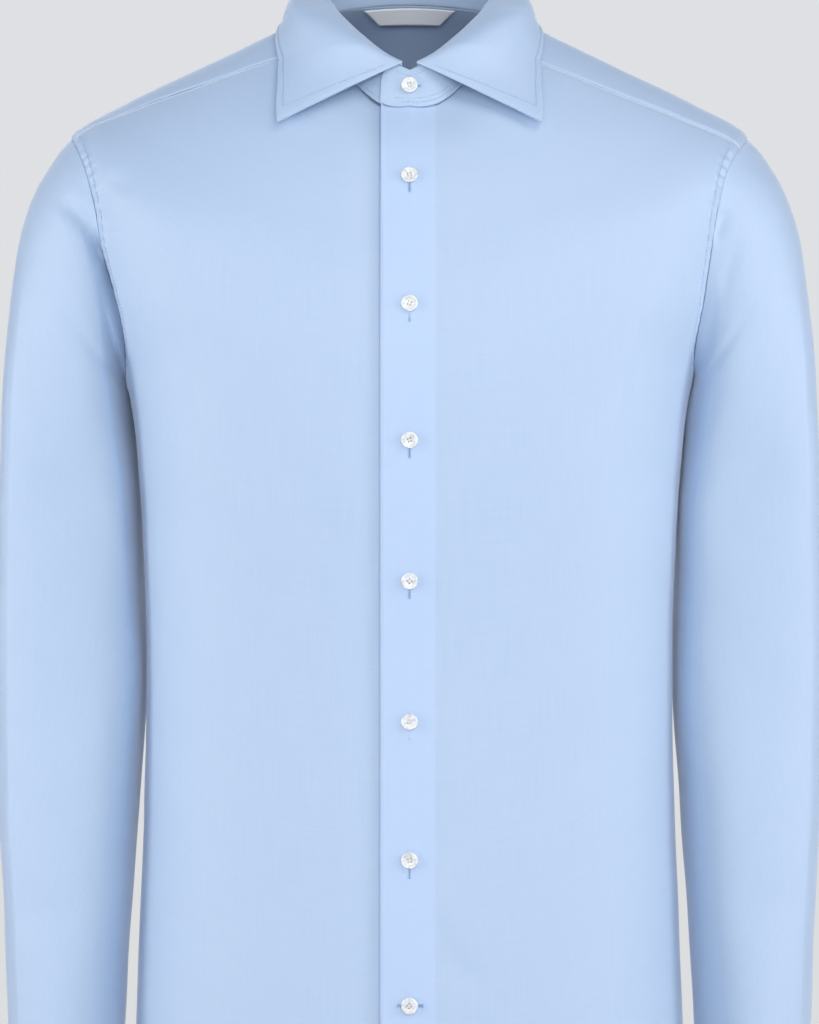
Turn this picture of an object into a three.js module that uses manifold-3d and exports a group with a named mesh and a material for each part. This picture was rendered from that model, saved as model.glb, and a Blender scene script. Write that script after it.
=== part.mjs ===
// A men's long sleeve dress shirt, buttoned up and filled out as if worn, with no wearer in it.
// Millimetres. +Z is up, the front faces -Y, and the wearer's left is +X.
// The origin is the middle of the neck, level with the side neck points, where the yoke rests on the wearer.
import * as THREE from "three";
import Module from "manifold-3d";

const wasm = await Module();
wasm.setup();

// A table's rows as objects, from the names of its columns and its numbers
const table = (names, rows) => {
  const keys = names.split(" ");
  return rows.map((row) => Object.fromEntries(keys.map((key, k) => [key, row[k]])));
};

// Driving sizes
const CLOTH = 1.2; // thickness of one layer of shirting
const STIFF = 1.9; // thickness of the interfaced collar, band and cuffs
const SEAM_GAP = 0.3; // clear distance between two pieces at a seam
const FRONT_GAP = 0.9; // between the two fronts where they lap
const OVER_EDGE = 19; // how far the buttonhole front passes the centre line
const UNDER_EDGE = 17; // how far the button front passes it, underneath
const FRONT_HEM = -786; // height of the shirt tail at the centre front and back
const SIDE_HEM = -716; // height of the hem at the side seams
const CUFF_HEIGHT = 68;
const CUFF_OVERLAP = 26;
const BUTTON_DIAMETER = 11;
const BUTTON_THICKNESS = 2.4;

// Torso rings, from the neck seam down to below the hem. square is 0 for an ellipse, more for a squarer ring.
const RINGS = table("halfWidth sideY frontY backY frontZ sideZ backZ square", [
  [61, -4, -72, 60, -83, -13, -2, 0],
  [94, -2, -88, 83, -107, -29, -25, 0.005],
  [143, 0, -99, 101, -132, -52.5, -53, 0.01],
  [191, 2, -107, 113, -157, -75, -81, 0.02],
  [229, 4, -114, 119, -181, -99, -110, 0.03],
  [228, 4, -120, 122, -206, -140, -148, 0.03],
  [214, 2, -124, 122, -234, -196, -200, 0.03],
  [192, 0, -126, 119, -267, -262, -264, 0.03],
  [182.7, -2, -124, 111, -335, -335, -335, 0.03],
  [178, -4, -119, 101, -440, -440, -440, 0.025],
  [179.5, -3, -121, 107, -550, -550, -550, 0.02],
  [184.6, -2, -126, 117, -680, -680, -680, 0.02],
  [188, -2, -129, 121, -810, -810, -810, 0.02],
]);
const UNDERARM = 7; // the ring that passes under the arms
const RING_DROP = 130; // about the greatest drop from one ring to the next, for the searches down the rings

// The armhole runs round the side of the body, 90 degrees round: turn 90 is the shoulder tip, 0 the front,
// -90 the underarm and 180 the back. At the back it is half an ellipse that reaches backReach degrees; at the
// front each side has its own line.
const ARMHOLE = { top: 4, bottom: UNDERARM, backReach: 27 };
const FRONT_REACH = {
  left: table("turn reach", [
    [-90, 0], [-60, 14.5], [-30, 23.5], [0, 28.8],
    [30, 30], [55, 28], [75, 20.5], [90, 0],
  ]),
  right: table("turn reach", [
    [-90, 0], [-60, 14.5], [-30, 24], [0, 25.8],
    [30, 27], [55, 24], [75, 15], [90, 0],
  ]),
};

// The yoke's corners: angles round the neck, turns of the armhole, and its seam's ring at the centre back
const YOKE = {
  frontNeck: 56,
  backNeck: 112,
  frontTurn: { left: 78, right: 82 },
  backTurn: 127,
  backRing: 3.6,
};

// Counts of cells; pieces that share a seam share its points.
const FRONT_EDGE_COLUMNS = 5; // in the strip that laps over or under the other front
const FRONT_EDGE_SHARE = 0.21; // that strip's share of a front's width
const FRONT_COLUMNS = 13;
const BACK_COLUMNS = 20;
const BODY_ROWS = 9; // hem to underarm
const CHEST_ROWS = 6; // underarm to neck, at the centre front
const NECK_ROWS = 8; // along the front neckline
const ARM_ROWS = CHEST_ROWS + NECK_ROWS;
const CAP_COLUMNS = 6; // over the shoulder, between the yoke's two seams

// Collar band, along its top edge, by the angle round the neck
const BAND_TOP = { halfWidth: 58, sideY: -4, frontY: -64, backY: 55 };
const BAND_TOP_HEIGHTS = table("angle z", [
  [0, -59],
  [15, -51],
  [30, -39],
  [45, -27],
  [60, -15],
  [90, 4],
  [135, 26],
  [180, 33],
]);
// Collar leaf, along its free edge from the point to the centre back: where it lies over the torso rings,
// and how far it bows out of the straight line down to there
const LEAF_EDGE = table("angle ring lift swell", [
  [39, 1.82, 8.5, 1.5],
  [49, 1.42, 6.5, 4],
  [60, 1.12, 4.6, 10.5],
  [90, 0.8, 3.2, 15.5],
  [135, 0.66, 3, 9],
  [180, 0.5, 3, 5],
]);
const LEAF_START = 5; // degrees from the centre front at which the leaf starts

// Sleeve rings from the armhole to the cuff, on the wearer's left; outer and inner are seen from the front.
const SLEEVE = table("outerX outerZ innerX innerZ innerY outerY frontY backY", [
  [242.5, -112, 196, -268, 8, 4, -61, 66],
  [254.5, -136, 191, -277, 17, 4, -60, 67],
  [264, -166, 187.5, -289, 25, 4, -58, 68],
  [270, -204, 185.5, -305, 32, 3, -55, 69],
  [274.5, -252, 184, -327, 39, 2, -51, 70],
  [276.5, -315, 182, -362, 45, 1, -48, 69],
  [278, -392, 181, -414, 45, 0, -47, 65],
  [278.5, -470, 180, -476, 34, -2, -49, 59],
  [277.5, -550, 184.5, -550, 16, -6, -54, 50],
  [273.6, -630, 189, -630, -2, -12, -58, 39],
  [270.3, -706, 193, -706, -12, -18, -62, 30],
]);
const CUFF = {
  halfWidth: 37.5,
  halfDepth: 40,
  centreX: 231.7, // at the top, and endX and endY at the end
  endX: 231,
  topY: -16,
  endY: -20,
  seamAngle: 55,
};

// Front buttons, down the centre line, after the one on the band
const BUTTON_HEIGHTS = [-131, -216, -305, -397, -489, -579.5, -674];
const BAND_BUTTON_HEIGHT = 0.55; // share of the band's height
const LABEL = { topHalfWidth: 32, lowHalfWidth: 22, height: 12, thickness: 1, columns: 8, rows: 2 };
const LABEL_CLEAR = 0.5; // between the label and the cloth behind it
const LABEL_START = 0.03; // the ring just below the neck seam
const BACK_RING_STEP = 32; // mm down the centre back from the first torso ring to the second

const BLUE = new THREE.MeshStandardMaterial({ color: 0xbdd4ef, roughness: 0.75, metalness: 0 });
const SHELL = new THREE.MeshStandardMaterial({ color: 0xf1efe9, roughness: 0.25, metalness: 0 });
const WHITE = new THREE.MeshStandardMaterial({ color: 0xf3f3f0, roughness: 0.8, metalness: 0 });

const rad = THREE.MathUtils.degToRad;
const mix = THREE.MathUtils.lerp;
const clamp = THREE.MathUtils.clamp;
const smoothstep = THREE.MathUtils.smoothstep;
const vec = (x, y, z) => new THREE.Vector3(x, y, z);

// The value of a named column at a place along a table's rows, on a smooth curve through them.
function along(table, column, place) {
  const at = clamp(place, 0, table.length - 1);
  const k = Math.min(Math.floor(at), table.length - 2);
  const s = at - k;
  const p1 = table[k][column];
  const p2 = table[k + 1][column];
  const p0 = k > 0 ? table[k - 1][column] : 2 * p1 - p2;
  const p3 = k + 2 < table.length ? table[k + 2][column] : 2 * p2 - p1;
  const bend = s * (2 * p0 - 5 * p1 + 4 * p2 - p3 + s * (3 * p1 - p0 - 3 * p2 + p3));
  return p1 + 0.5 * s * (p2 - p0 + bend);
}

// The place along a table's rows at which its key column has a value.
function placeOf(table, key, value) {
  const k = table.findIndex((row, i) => i > 0 && value <= row[key]);
  if (k < 0) return table.length - 1;
  return Math.max(0, k - 1 + (value - table[k - 1][key]) / (table[k][key] - table[k - 1][key]));
}

// Shares of the half width and half depth round a squared ellipse; angle 0 is the centre front.
function squared(angle, square) {
  const a = rad(angle);
  return {
    wide: (Math.sin(a) + square * Math.sin(3 * a)) / (1 - square),
    deep: (Math.cos(a) - square * Math.cos(3 * a)) / (1 - square),
  };
}

// A point of the torso form, by the angle round the body and the ring.
function torsoPoint(angle, ring) {
  const r = (column) => along(RINGS, column, ring);
  const { wide, deep } = squared(angle, r("square"));
  const front = deep >= 0;
  const endY = front ? r("frontY") : r("backY");
  const endZ = front ? r("frontZ") : r("backZ");
  const y = r("sideY") + Math.abs(deep) * (endY - r("sideY"));
  const z = r("sideZ") + deep * deep * (endZ - r("sideZ"));
  return vec(r("halfWidth") * wide, y, z);
}

// The same, moved out along the form's normal by lift.
function torso(angle, ring, lift = 0) {
  const da = 0.5;
  const dr = 0.02;
  const low = Math.max(0, ring - dr);
  const around = torsoPoint(angle + da, ring).sub(torsoPoint(angle - da, ring));
  const down = torsoPoint(angle, ring + dr).sub(torsoPoint(angle, low));
  return torsoPoint(angle, ring).addScaledVector(around.cross(down).normalize().negate(), lift);
}

// The angle at which the form is a distance x from the centre line, near the front, found in a few steps.
function angleAt(x, ring) {
  const halfWidth = along(RINGS, "halfWidth", ring);
  let angle = 0;
  for (let i = 0; i < 6; i++) angle += THREE.MathUtils.radToDeg((x - torsoPoint(angle, ring).x) / halfWidth);
  return angle;
}

// The ring of the hem: a shirt tail, lowest at the centre front and back.
function hemRing(angle) {
  const tail = Math.cos(2 * rad(angle)) * 0.5 + 0.5;
  const height = mix(SIDE_HEM, FRONT_HEM, tail * tail * (3 - 2 * tail));
  let ring = RINGS.length - 1.5;
  for (let i = 0; i < 8; i++) ring += (torsoPoint(angle, ring).z - height) / RING_DROP;
  return ring;
}

// The angle and ring of the armhole at a turn
function armhole(side, turn) {
  const t = rad(turn);
  const front = FRONT_REACH[side];
  const forward = along(front, "reach", placeOf(front, "turn", turn));
  return {
    angle: 90 - (Math.cos(t) >= 0 ? forward : ARMHOLE.backReach * Math.cos(t)),
    ring: mix(ARMHOLE.top, ARMHOLE.bottom, 0.5 - 0.5 * Math.sin(t)),
  };
}

// A closed wall between an outer and an inner grid of points. Edge rows are drawn in by half a seam gap.
// at(i, j, depth) gives a point, with depth 0 on the outer face and 1 on the inner.
function wall(columns, rows, at, { tube = false, drawIn = SEAM_GAP / 2, flip = false } = {}) {
  const across = tube ? columns : columns + 1;
  const grid = [0, 1].map((depth) => {
    const raw = [];
    for (let j = 0; j <= rows; j++) {
      raw.push([]);
      for (let i = 0; i < across; i++) raw[j].push(at(i, j, depth));
    }
    if (!drawIn) return raw;
    const point = (i, j) => {
      const column = tube ? (i + across) % across : clamp(i, 0, across - 1);
      return raw[clamp(j, 0, rows)][column];
    };
    // The step from an edge point into the piece, square to the edge, which runs in direction (di, dj)
    const inward = (i, j, di, dj, toI, toJ) => {
      const edge = point(i + di, j + dj).clone().sub(point(i - di, j - dj)).normalize();
      const step = point(i + toI, j + toJ).clone().sub(point(i, j));
      return step.addScaledVector(edge, -step.dot(edge)).setLength(drawIn);
    };
    const moved = raw.map((line) => line.map((p) => p.clone()));
    for (let i = 0; i < across; i++) {
      moved[0][i].add(inward(i, 0, 1, 0, 0, 1));
      moved[rows][i].add(inward(i, rows, 1, 0, 0, -1));
    }
    for (let j = 0; j <= rows && !tube; j++) {
      moved[j][0].add(inward(0, j, 0, 1, 1, 0));
      moved[j][across - 1].add(inward(across - 1, j, 0, 1, -1, 0));
    }
    return moved;
  });
  const positions = [];
  const faces = [];
  grid.forEach((layer) => layer.forEach((line) => line.forEach((p) => positions.push(p.x, p.y, p.z))));
  const layerSize = across * (rows + 1);
  const id = (i, j, depth) => depth * layerSize + j * across + (i % across);
  const quad = (a, b, c, d) => {
    if (flip) faces.push(a, c, b, a, d, c);
    else faces.push(a, b, c, a, c, d);
  };
  for (let j = 0; j < rows; j++) {
    for (let i = 0; i < columns; i++) {
      quad(id(i, j, 0), id(i + 1, j, 0), id(i + 1, j + 1, 0), id(i, j + 1, 0));
      quad(id(i, j, 1), id(i, j + 1, 1), id(i + 1, j + 1, 1), id(i + 1, j, 1));
    }
  }
  for (let i = 0; i < columns; i++) {
    quad(id(i, 0, 0), id(i, 0, 1), id(i + 1, 0, 1), id(i + 1, 0, 0));
    quad(id(i, rows, 0), id(i + 1, rows, 0), id(i + 1, rows, 1), id(i, rows, 1));
  }
  for (let j = 0; j < rows && !tube; j++) {
    quad(id(0, j, 0), id(0, j + 1, 0), id(0, j + 1, 1), id(0, j, 1));
    quad(id(columns, j, 0), id(columns, j, 1), id(columns, j + 1, 1), id(columns, j + 1, 0));
  }
  const geometry = new THREE.BufferGeometry();
  geometry.setAttribute("position", new THREE.Float32BufferAttribute(positions, 3));
  geometry.setIndex(faces);
  geometry.computeVertexNormals();
  return geometry;
}

const shirt = new THREE.Group();
function add(name, geometry, material = BLUE) {
  const mesh = new THREE.Mesh(geometry, material);
  mesh.name = name;
  shirt.add(mesh);
  return mesh;
}

// Turns of the armhole at the points that a front and the back share with the sleeve
const frontTurn = (side, k) => mix(-90, YOKE.frontTurn[side], k / ARM_ROWS);
const backTurn = (k) => mix(270, YOKE.backTurn, k / ARM_ROWS);
const capTurn = (side, k) => mix(YOKE.frontTurn[side], YOKE.backTurn, k / CAP_COLUMNS);

// Fronts: column 0 is the front edge, and the rows go from the hem up to the yoke seam.
function frontPlace(side, i, j, edge) {
  const past = i - FRONT_EDGE_COLUMNS;
  const strip = (FRONT_EDGE_SHARE * i) / FRONT_EDGE_COLUMNS;
  const u = past < 0 ? strip : mix(FRONT_EDGE_SHARE, 1, past / (FRONT_COLUMNS - FRONT_EDGE_COLUMNS));
  if (j <= BODY_ROWS) {
    const up = j / BODY_ROWS;
    const edgeAngle = angleAt(-edge, mix(RINGS.length - 1.3, UNDERARM, up));
    const angle = mix(edgeAngle, 90, u);
    return { angle, ring: mix(hemRing(angle), UNDERARM, up) };
  }
  const k = j - BODY_ROWS;
  const outer = armhole(side, frontTurn(side, k));
  const onNeck = Math.max(0, k - CHEST_ROWS) / NECK_ROWS;
  const ring = UNDERARM * Math.max(0, 1 - k / CHEST_ROWS);
  const inner = mix(angleAt(-edge, ring), YOKE.frontNeck, onNeck);
  return { angle: mix(inner, outer.angle, u), ring: mix(ring, outer.ring, u) };
}

// How far a front stands off the form at a distance inwards from the centre line: where they lap, the under
// front dips behind the over one, and both come back to the form a little past the lap.
const FRONT_RISE = 0.3;
const LAP_END = 21;
const LAP_BLEND = 24;
function frontLift(side, inwards) {
  const lapped = 1 - smoothstep(inwards, LAP_END, LAP_END + LAP_BLEND);
  return lapped * (side === "left" ? FRONT_RISE : -CLOTH - FRONT_GAP);
}

function makeFront(side) {
  const sign = side === "left" ? 1 : -1;
  const edge = side === "left" ? OVER_EDGE : UNDER_EDGE;
  const at = (i, j, depth) => {
    const { angle, ring } = frontPlace(side, i, j, edge);
    const lift = frontLift(side, torsoPoint(angle, ring).x);
    const p = torso(angle, ring, lift - depth * CLOTH);
    return vec(sign * p.x, p.y, p.z);
  };
  add("front_" + side, wall(FRONT_COLUMNS, BODY_ROWS + ARM_ROWS, at, { flip: side === "right" }));
}

// The back's upper edge and the yoke's lower one are one line.
function backSeam(share) {
  const end = armhole("left", YOKE.backTurn);
  return { angle: mix(end.angle, 180, share), ring: mix(end.ring, YOKE.backRing, share * (2 - share)) };
}

function makeBack() {
  const at = (i, j, depth) => {
    const half = BACK_COLUMNS / 2;
    const share = 1 - Math.abs(i - half) / half;
    const sign = i <= half ? 1 : -1;
    let angle = mix(90, 180, share);
    let ring;
    if (j <= BODY_ROWS) {
      ring = mix(hemRing(angle), UNDERARM, j / BODY_ROWS);
    } else {
      const k = j - BODY_ROWS;
      const end = armhole("left", backTurn(k));
      const middle = mix(UNDERARM, YOKE.backRing, k / ARM_ROWS);
      angle = mix(end.angle, 180, share);
      ring = mix(end.ring, middle, share * (2 - share));
    }
    const p = torso(angle, ring, -depth * CLOTH);
    return vec(sign * p.x, p.y, p.z);
  };
  add("back", wall(BACK_COLUMNS, BODY_ROWS + ARM_ROWS, at));
}

// The yoke fans out from the neck seam: over the right shoulder, round the back and over the left one.
const BACK_HALF = BACK_COLUMNS / 2;
const YOKE_HALF = CAP_COLUMNS + BACK_HALF;
function yokeNeckAngle(step) {
  if (step <= CAP_COLUMNS) return mix(YOKE.frontNeck, YOKE.backNeck, step / CAP_COLUMNS);
  return mix(YOKE.backNeck, 180, (step - CAP_COLUMNS) / BACK_HALF);
}

function makeYoke() {
  const at = (i, j, depth) => {
    const side = i <= YOKE_HALF ? "left" : "right";
    const step = side === "left" ? i : 2 * YOKE_HALF - i;
    const past = step - CAP_COLUMNS;
    const outer = past <= 0 ? armhole(side, capTurn(side, step)) : backSeam(past / BACK_HALF);
    const v = 1 - j / FRONT_COLUMNS;
    const angle = mix(yokeNeckAngle(step), outer.angle, v);
    const p = torso(angle, outer.ring * v, -depth * CLOTH);
    return vec(side === "left" ? p.x : -p.x, p.y, p.z);
  };
  add("yoke", wall(2 * YOKE_HALF, FRONT_COLUMNS, at));
}

// Sleeves: the first ring is the armhole, and later ones swing down to level.
const SLEEVE_POINTS = 2 * ARM_ROWS + CAP_COLUMNS;
function sleeveTurn(side, i) {
  if (i <= ARM_ROWS) return frontTurn(side, i);
  if (i <= ARM_ROWS + CAP_COLUMNS) return capTurn(side, i - ARM_ROWS);
  return backTurn(2 * ARM_ROWS + CAP_COLUMNS - i);
}

function sleeveRing(turn, place) {
  const r = (column) => along(SLEEVE, column, place);
  const t = rad(turn);
  const { wide, deep } = squared(turn, 0.02);
  const outer = (wide + 1) / 2;
  const middleY = mix(r("innerY"), r("outerY"), 0.5 + 0.5 * Math.sin(t));
  const spanY = deep >= 0 ? r("frontY") : r("backY");
  const y = middleY + Math.abs(deep) * (spanY - middleY);
  return vec(mix(r("innerX"), r("outerX"), outer), y, mix(r("innerZ"), r("outerZ"), outer));
}

// A fold on each sleeve that starts on the front of the upper arm and runs in to the armpit. Its line is laid
// out on the sleeve spread flat, at about so many mm for a degree round and a row down.
const FOLD = {
  left: { depth: 4, width: 13, from: { turn: 30, row: 2.9 }, to: { turn: -36, row: 1.2 } },
  right: { depth: 4, width: 13, from: { turn: 34, row: 3.0 }, to: { turn: -34, row: 1.1 } },
};
const FLAT_TURN = 1.2;
const FLAT_ROW = 22;
const flatSleeve = (turn, row) => vec((turn > 180 ? turn - 360 : turn) * FLAT_TURN, row * FLAT_ROW, 0);
function foldDepth(side, turn, row) {
  const { depth, width, from, to } = FOLD[side];
  const start = flatSleeve(from.turn, from.row);
  const run = flatSleeve(to.turn, to.row).sub(start);
  const spot = flatSleeve(turn, row);
  const share = clamp(spot.clone().sub(start).dot(run) / run.lengthSq(), 0, 1);
  const off = spot.distanceTo(start.addScaledVector(run, share)) / width;
  return depth * Math.exp(-off * off) * Math.min(1, 0.25 + 1.5 * share);
}

// A row of the sleeve is 0 at the armhole and SLEEVE_ROWS at the cuff seam. The seam holds the shape of the
// rows next to it, less and less down to row HELD_ROWS.
const SLEEVE_ROWS = 15;
const HELD_ROWS = 3.2;
const ROW_SPREAD = 1.15; // above 1, the rows lie closer together near the armhole
function sleevePoint(side, turn, row) {
  const { angle, ring } = armhole(side, turn);
  const start = torsoPoint(angle, ring);
  if (row <= 0) return start;
  const place = (Math.max(0, row - 1) / (SLEEVE_ROWS - 1)) ** ROW_SPREAD * (SLEEVE.length - 1);
  const p = sleeveRing(turn, place);
  const hold = Math.max(0, 1 - row / HELD_ROWS) ** 2;
  return p.lerp(start, row < 1 ? mix(1, hold, row) : hold);
}

function sleeveAt(side, turn, row, lift) {
  const spot = (t, r) => sleevePoint(side, t, clamp(r, 0, SLEEVE_ROWS));
  const around = spot(turn + 2, row).sub(spot(turn - 2, row));
  const down = spot(turn, row + 0.25).sub(spot(turn, row - 0.25));
  const normal = around.cross(down).normalize().negate();
  return spot(turn, row).addScaledVector(normal, lift - foldDepth(side, turn, row));
}

function makeSleeve(side) {
  const sign = side === "left" ? 1 : -1;
  const at = (i, j, depth) => {
    const p = sleeveAt(side, sleeveTurn(side, i % SLEEVE_POINTS), j, -depth * CLOTH);
    return vec(sign * p.x, p.y, p.z);
  };
  const closed = { tube: true, drawIn: SEAM_GAP, flip: side === "left" };
  add("sleeve_" + side, wall(SLEEVE_POINTS, SLEEVE_ROWS, at, closed));
}

// Collar band: from the over end, round the neck, to the under end, which lies behind the over one.
const BAND_ROWS = 3;
const steps = (count, at) => Array.from({ length: count }, (_, k) => at(k));
const neckSteps = (edge) => steps(NECK_ROWS, (k) => mix(angleAt(-edge, 0), YOKE.frontNeck, k / NECK_ROWS));
const yokeSteps = steps(YOKE_HALF, yokeNeckAngle);
const mirrored = (angles) => angles.map((angle) => 360 - angle).reverse();
const BAND_ANGLES = [
  ...neckSteps(OVER_EDGE),
  ...yokeSteps,
  180,
  ...mirrored(yokeSteps),
  ...mirrored(neckSteps(UNDER_EDGE)),
];
const LAYER_SHIFT = 1.15; // either end off the band's middle face, so that they clear each other at the lap
const BAND_LIFT = 0.6; // the band's foot off the torso form
const END_ROUND = { degrees: 13, height: 0.45 }; // the rounded ends, which start at this share of the height

function bandTop(angle) {
  const turned = Math.abs(((angle + 540) % 360) - 180);
  const { halfWidth, sideY, frontY, backY } = BAND_TOP;
  const deep = Math.cos(rad(angle));
  const y = sideY + Math.abs(deep) * ((deep >= 0 ? frontY : backY) - sideY);
  const z = along(BAND_TOP_HEIGHTS, "z", placeOf(BAND_TOP_HEIGHTS, "angle", turned));
  return vec(halfWidth * Math.sin(rad(angle)), y, z);
}

// The band's middle face at a share of its height, with the direction out of the neck there
function band(angle, share) {
  const foot = torso(angle, 0, BAND_LIFT);
  const top = bandTop(angle);
  const rise = top.clone().sub(foot).normalize();
  foot.addScaledVector(rise, SEAM_GAP);
  const around = bandTop(angle + 1).sub(bandTop(angle - 1));
  const out = around.cross(rise).normalize();
  return { point: foot.lerp(top, share), out, rise };
}

// Outwards at the over end, inwards at the under end
function bandShift(angle) {
  const over = 1 - smoothstep(angle, 10, 48);
  const under = smoothstep(angle, 312, 350);
  return LAYER_SHIFT * (over - under);
}

function makeBand() {
  const at = (i, j, depth) => {
    const angle = BAND_ANGLES[i];
    const fromEnd = Math.min(angle - BAND_ANGLES[0], BAND_ANGLES[BAND_ANGLES.length - 1] - angle);
    const round = Math.sqrt(1 - (1 - Math.min(1, fromEnd / END_ROUND.degrees)) ** 2);
    const { point, out } = band(angle, (j / BAND_ROWS) * mix(END_ROUND.height, 1, round));
    return point.addScaledVector(out, bandShift(angle) + STIFF * (0.5 - depth));
  };
  add("collar_band", wall(BAND_ANGLES.length - 1, BAND_ROWS, at, { drawIn: 0 }));
}

// Collar leaf: rolls over the top of the band, then falls to its free edge.
const LEAF_COLUMNS = 40;
const LEAF_ROLL = table("out up", [
  [-0.9, 0.7],
  [-0.7, 2.3],
  [0.6, 3.4],
  [2.3, 3.2],
  [3.7, 1.8],
]);
const LEAF_FALL_ROWS = 5;
const LEAF_CLOTH = 1.5;
const LEAF_GAP = 0.2; // between the leaf and the band that it rolls over

function leafEdge(angle) {
  const place = placeOf(LEAF_EDGE, "angle", angle);
  return torso(angle, along(LEAF_EDGE, "ring", place), along(LEAF_EDGE, "lift", place));
}

// A point of the leaf's outer face, on the wearer's left half; u runs from the front edge to the centre back.
function leafPoint(u, row) {
  const topAngle = mix(LEAF_START, 180, u);
  const { point: top, out, rise } = band(topAngle, 1);
  const last = LEAF_ROLL.length - 1;
  const shift = bandShift(topAngle) + LEAF_GAP;
  const roll = (k) =>
    top
      .clone()
      .addScaledVector(out, along(LEAF_ROLL, "out", k) + shift)
      .addScaledVector(rise, along(LEAF_ROLL, "up", k));
  if (row <= last) return roll(row);
  const edgeAngle = mix(LEAF_EDGE[0].angle, 180, u ** 0.85);
  const fall = (row - last) / LEAF_FALL_ROWS;
  const swell = along(LEAF_EDGE, "swell", placeOf(LEAF_EDGE, "angle", edgeAngle));
  const bowed = swell * Math.sin(Math.PI * fall ** 0.7);
  return roll(last).lerp(leafEdge(edgeAngle), fall).addScaledVector(out, bowed);
}

function makeLeaf() {
  const rows = LEAF_ROLL.length - 1 + LEAF_FALL_ROWS;
  const half = LEAF_COLUMNS / 2;
  const at = (i, j, depth) => {
    const u = 1 - Math.abs(i - half) / half;
    const e = 0.01;
    const around = leafPoint(Math.min(1, u + e), j).sub(leafPoint(Math.max(0, u - e), j));
    const down = leafPoint(u, Math.min(rows, j + 0.2)).sub(leafPoint(u, Math.max(0, j - 0.2)));
    const normal = around.cross(down).normalize();
    if (u > 0.999) normal.setX(0).normalize();
    const p = leafPoint(u, j).addScaledVector(normal, depth * LEAF_CLOTH);
    return vec(i <= half ? p.x : -p.x, p.y, p.z);
  };
  add("collar_leaf", wall(LEAF_COLUMNS, rows, at, { drawIn: 0, flip: true }));
}

// Cuffs: a strip once round the wrist, with its end lapped over its start at the back of the arm
const CUFF_COLUMNS = 28;
const CUFF_STEP = { from: 0.6, to: 0.88 }; // where along the strip it climbs onto its own first layer
function cuffPoint(angle, share, lift) {
  const a = rad(angle);
  const x = mix(CUFF.centreX, CUFF.endX, share) + (CUFF.halfWidth + lift) * Math.sin(a);
  const y = mix(CUFF.topY, CUFF.endY, share) + (CUFF.halfDepth + lift) * Math.cos(a);
  return vec(x, y, SLEEVE[SLEEVE.length - 1].outerZ - SEAM_GAP - share * CUFF_HEIGHT);
}

function makeCuff(side) {
  const sign = side === "left" ? 1 : -1;
  const lap = (CUFF_OVERLAP / CUFF.halfDepth / Math.PI) * 180;
  const at = (i, j, depth) => {
    const s = i / CUFF_COLUMNS;
    const angle = CUFF.seamAngle - lap / 2 + s * (360 + lap);
    const layer = (STIFF + SEAM_GAP) * smoothstep(s, CUFF_STEP.from, CUFF_STEP.to);
    const p = cuffPoint(angle, j / 2, layer - STIFF * depth);
    return vec(sign * p.x, p.y, p.z);
  };
  add("cuff_" + side, wall(CUFF_COLUMNS, 2, at, { drawIn: 0, flip: side === "right" }));
}

// Sleeve plackets: a strip on the back of the sleeve, up from the cuff, over whole cells of the sleeve
const PLACKET = { firstPoint: ARM_ROWS + CAP_COLUMNS + 1, columns: 3, rows: 3, rowShare: 0.84 };
function makePlacket(side) {
  const sign = side === "left" ? 1 : -1;
  const at = (i, j, depth) => {
    const row = SLEEVE_ROWS - (j === 0 ? 0.01 : PLACKET.rowShare * j);
    const p = sleeveAt(side, sleeveTurn(side, PLACKET.firstPoint + i), row, SEAM_GAP + CLOTH * (1 - depth));
    return vec(sign * p.x, p.y, p.z);
  };
  const loose = { drawIn: 0, flip: side === "right" };
  add("sleeve_placket_" + side, wall(PLACKET.columns, PLACKET.rows, at, loose));
}

// A button: a disc with a raised rim and a dished middle. It lies just clear of a point and faces outwards.
const BUTTON_CLEAR = 0.45;
function buttonGeometry() {
  const r = BUTTON_DIAMETER / 2;
  const profile = [
    [0, 0],
    [r * 0.86, 0],
    [r, BUTTON_THICKNESS * 0.45],
    [r * 0.92, BUTTON_THICKNESS],
    [r * 0.74, BUTTON_THICKNESS * 0.92],
    [r * 0.6, BUTTON_THICKNESS * 0.66],
    [0, BUTTON_THICKNESS * 0.6],
  ].map(([x, y]) => new THREE.Vector2(x, y));
  return new THREE.LatheGeometry(profile, 14);
}

function placeButton(name, point, out) {
  const mesh = add(name, buttonGeometry(), SHELL);
  mesh.quaternion.setFromUnitVectors(vec(0, 1, 0), out);
  mesh.position.copy(point).addScaledVector(out, BUTTON_CLEAR);
}

function makeButtons() {
  const { point, out } = band(0, BAND_BUTTON_HEIGHT);
  placeButton("button_collar", point.addScaledVector(out, bandShift(0) + STIFF / 2), out);
  BUTTON_HEIGHTS.forEach((height, k) => {
    let ring = UNDERARM;
    for (let i = 0; i < 40; i++) ring += (torsoPoint(0, ring).z - height) / RING_DROP;
    const spot = torso(0, ring, FRONT_RISE);
    const normal = torso(0, ring, FRONT_RISE + 1).sub(spot).normalize();
    placeButton("button_front_" + (k + 1), spot, normal);
  });
  ["left", "right"].forEach((side) => {
    const mirror = vec(side === "left" ? 1 : -1, 1, 1);
    const layer = STIFF + SEAM_GAP;
    const spot = cuffPoint(CUFF.seamAngle, 0.5, layer).multiply(mirror);
    const normal = cuffPoint(CUFF.seamAngle, 0.5, layer + 1).multiply(mirror).sub(spot).normalize();
    placeButton("button_cuff_" + side, spot, normal);
  });
}

// The neck label hangs from the band's seam, inside the back.
function makeLabel() {
  const at = (i, j, depth) => {
    const down = 1 - j / LABEL.rows;
    const half = mix(LABEL.topHalfWidth, LABEL.lowHalfWidth, down);
    const across = ((2 * i) / LABEL.columns - 1) * half;
    const ring = LABEL_START + (down * LABEL.height) / BACK_RING_STEP;
    const angle = 180 - angleAt(across, ring);
    return torso(angle, ring, -CLOTH - LABEL_CLEAR - depth * LABEL.thickness);
  };
  add("label", wall(LABEL.columns, LABEL.rows, at, { drawIn: 0, flip: true }), WHITE);
}

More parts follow.
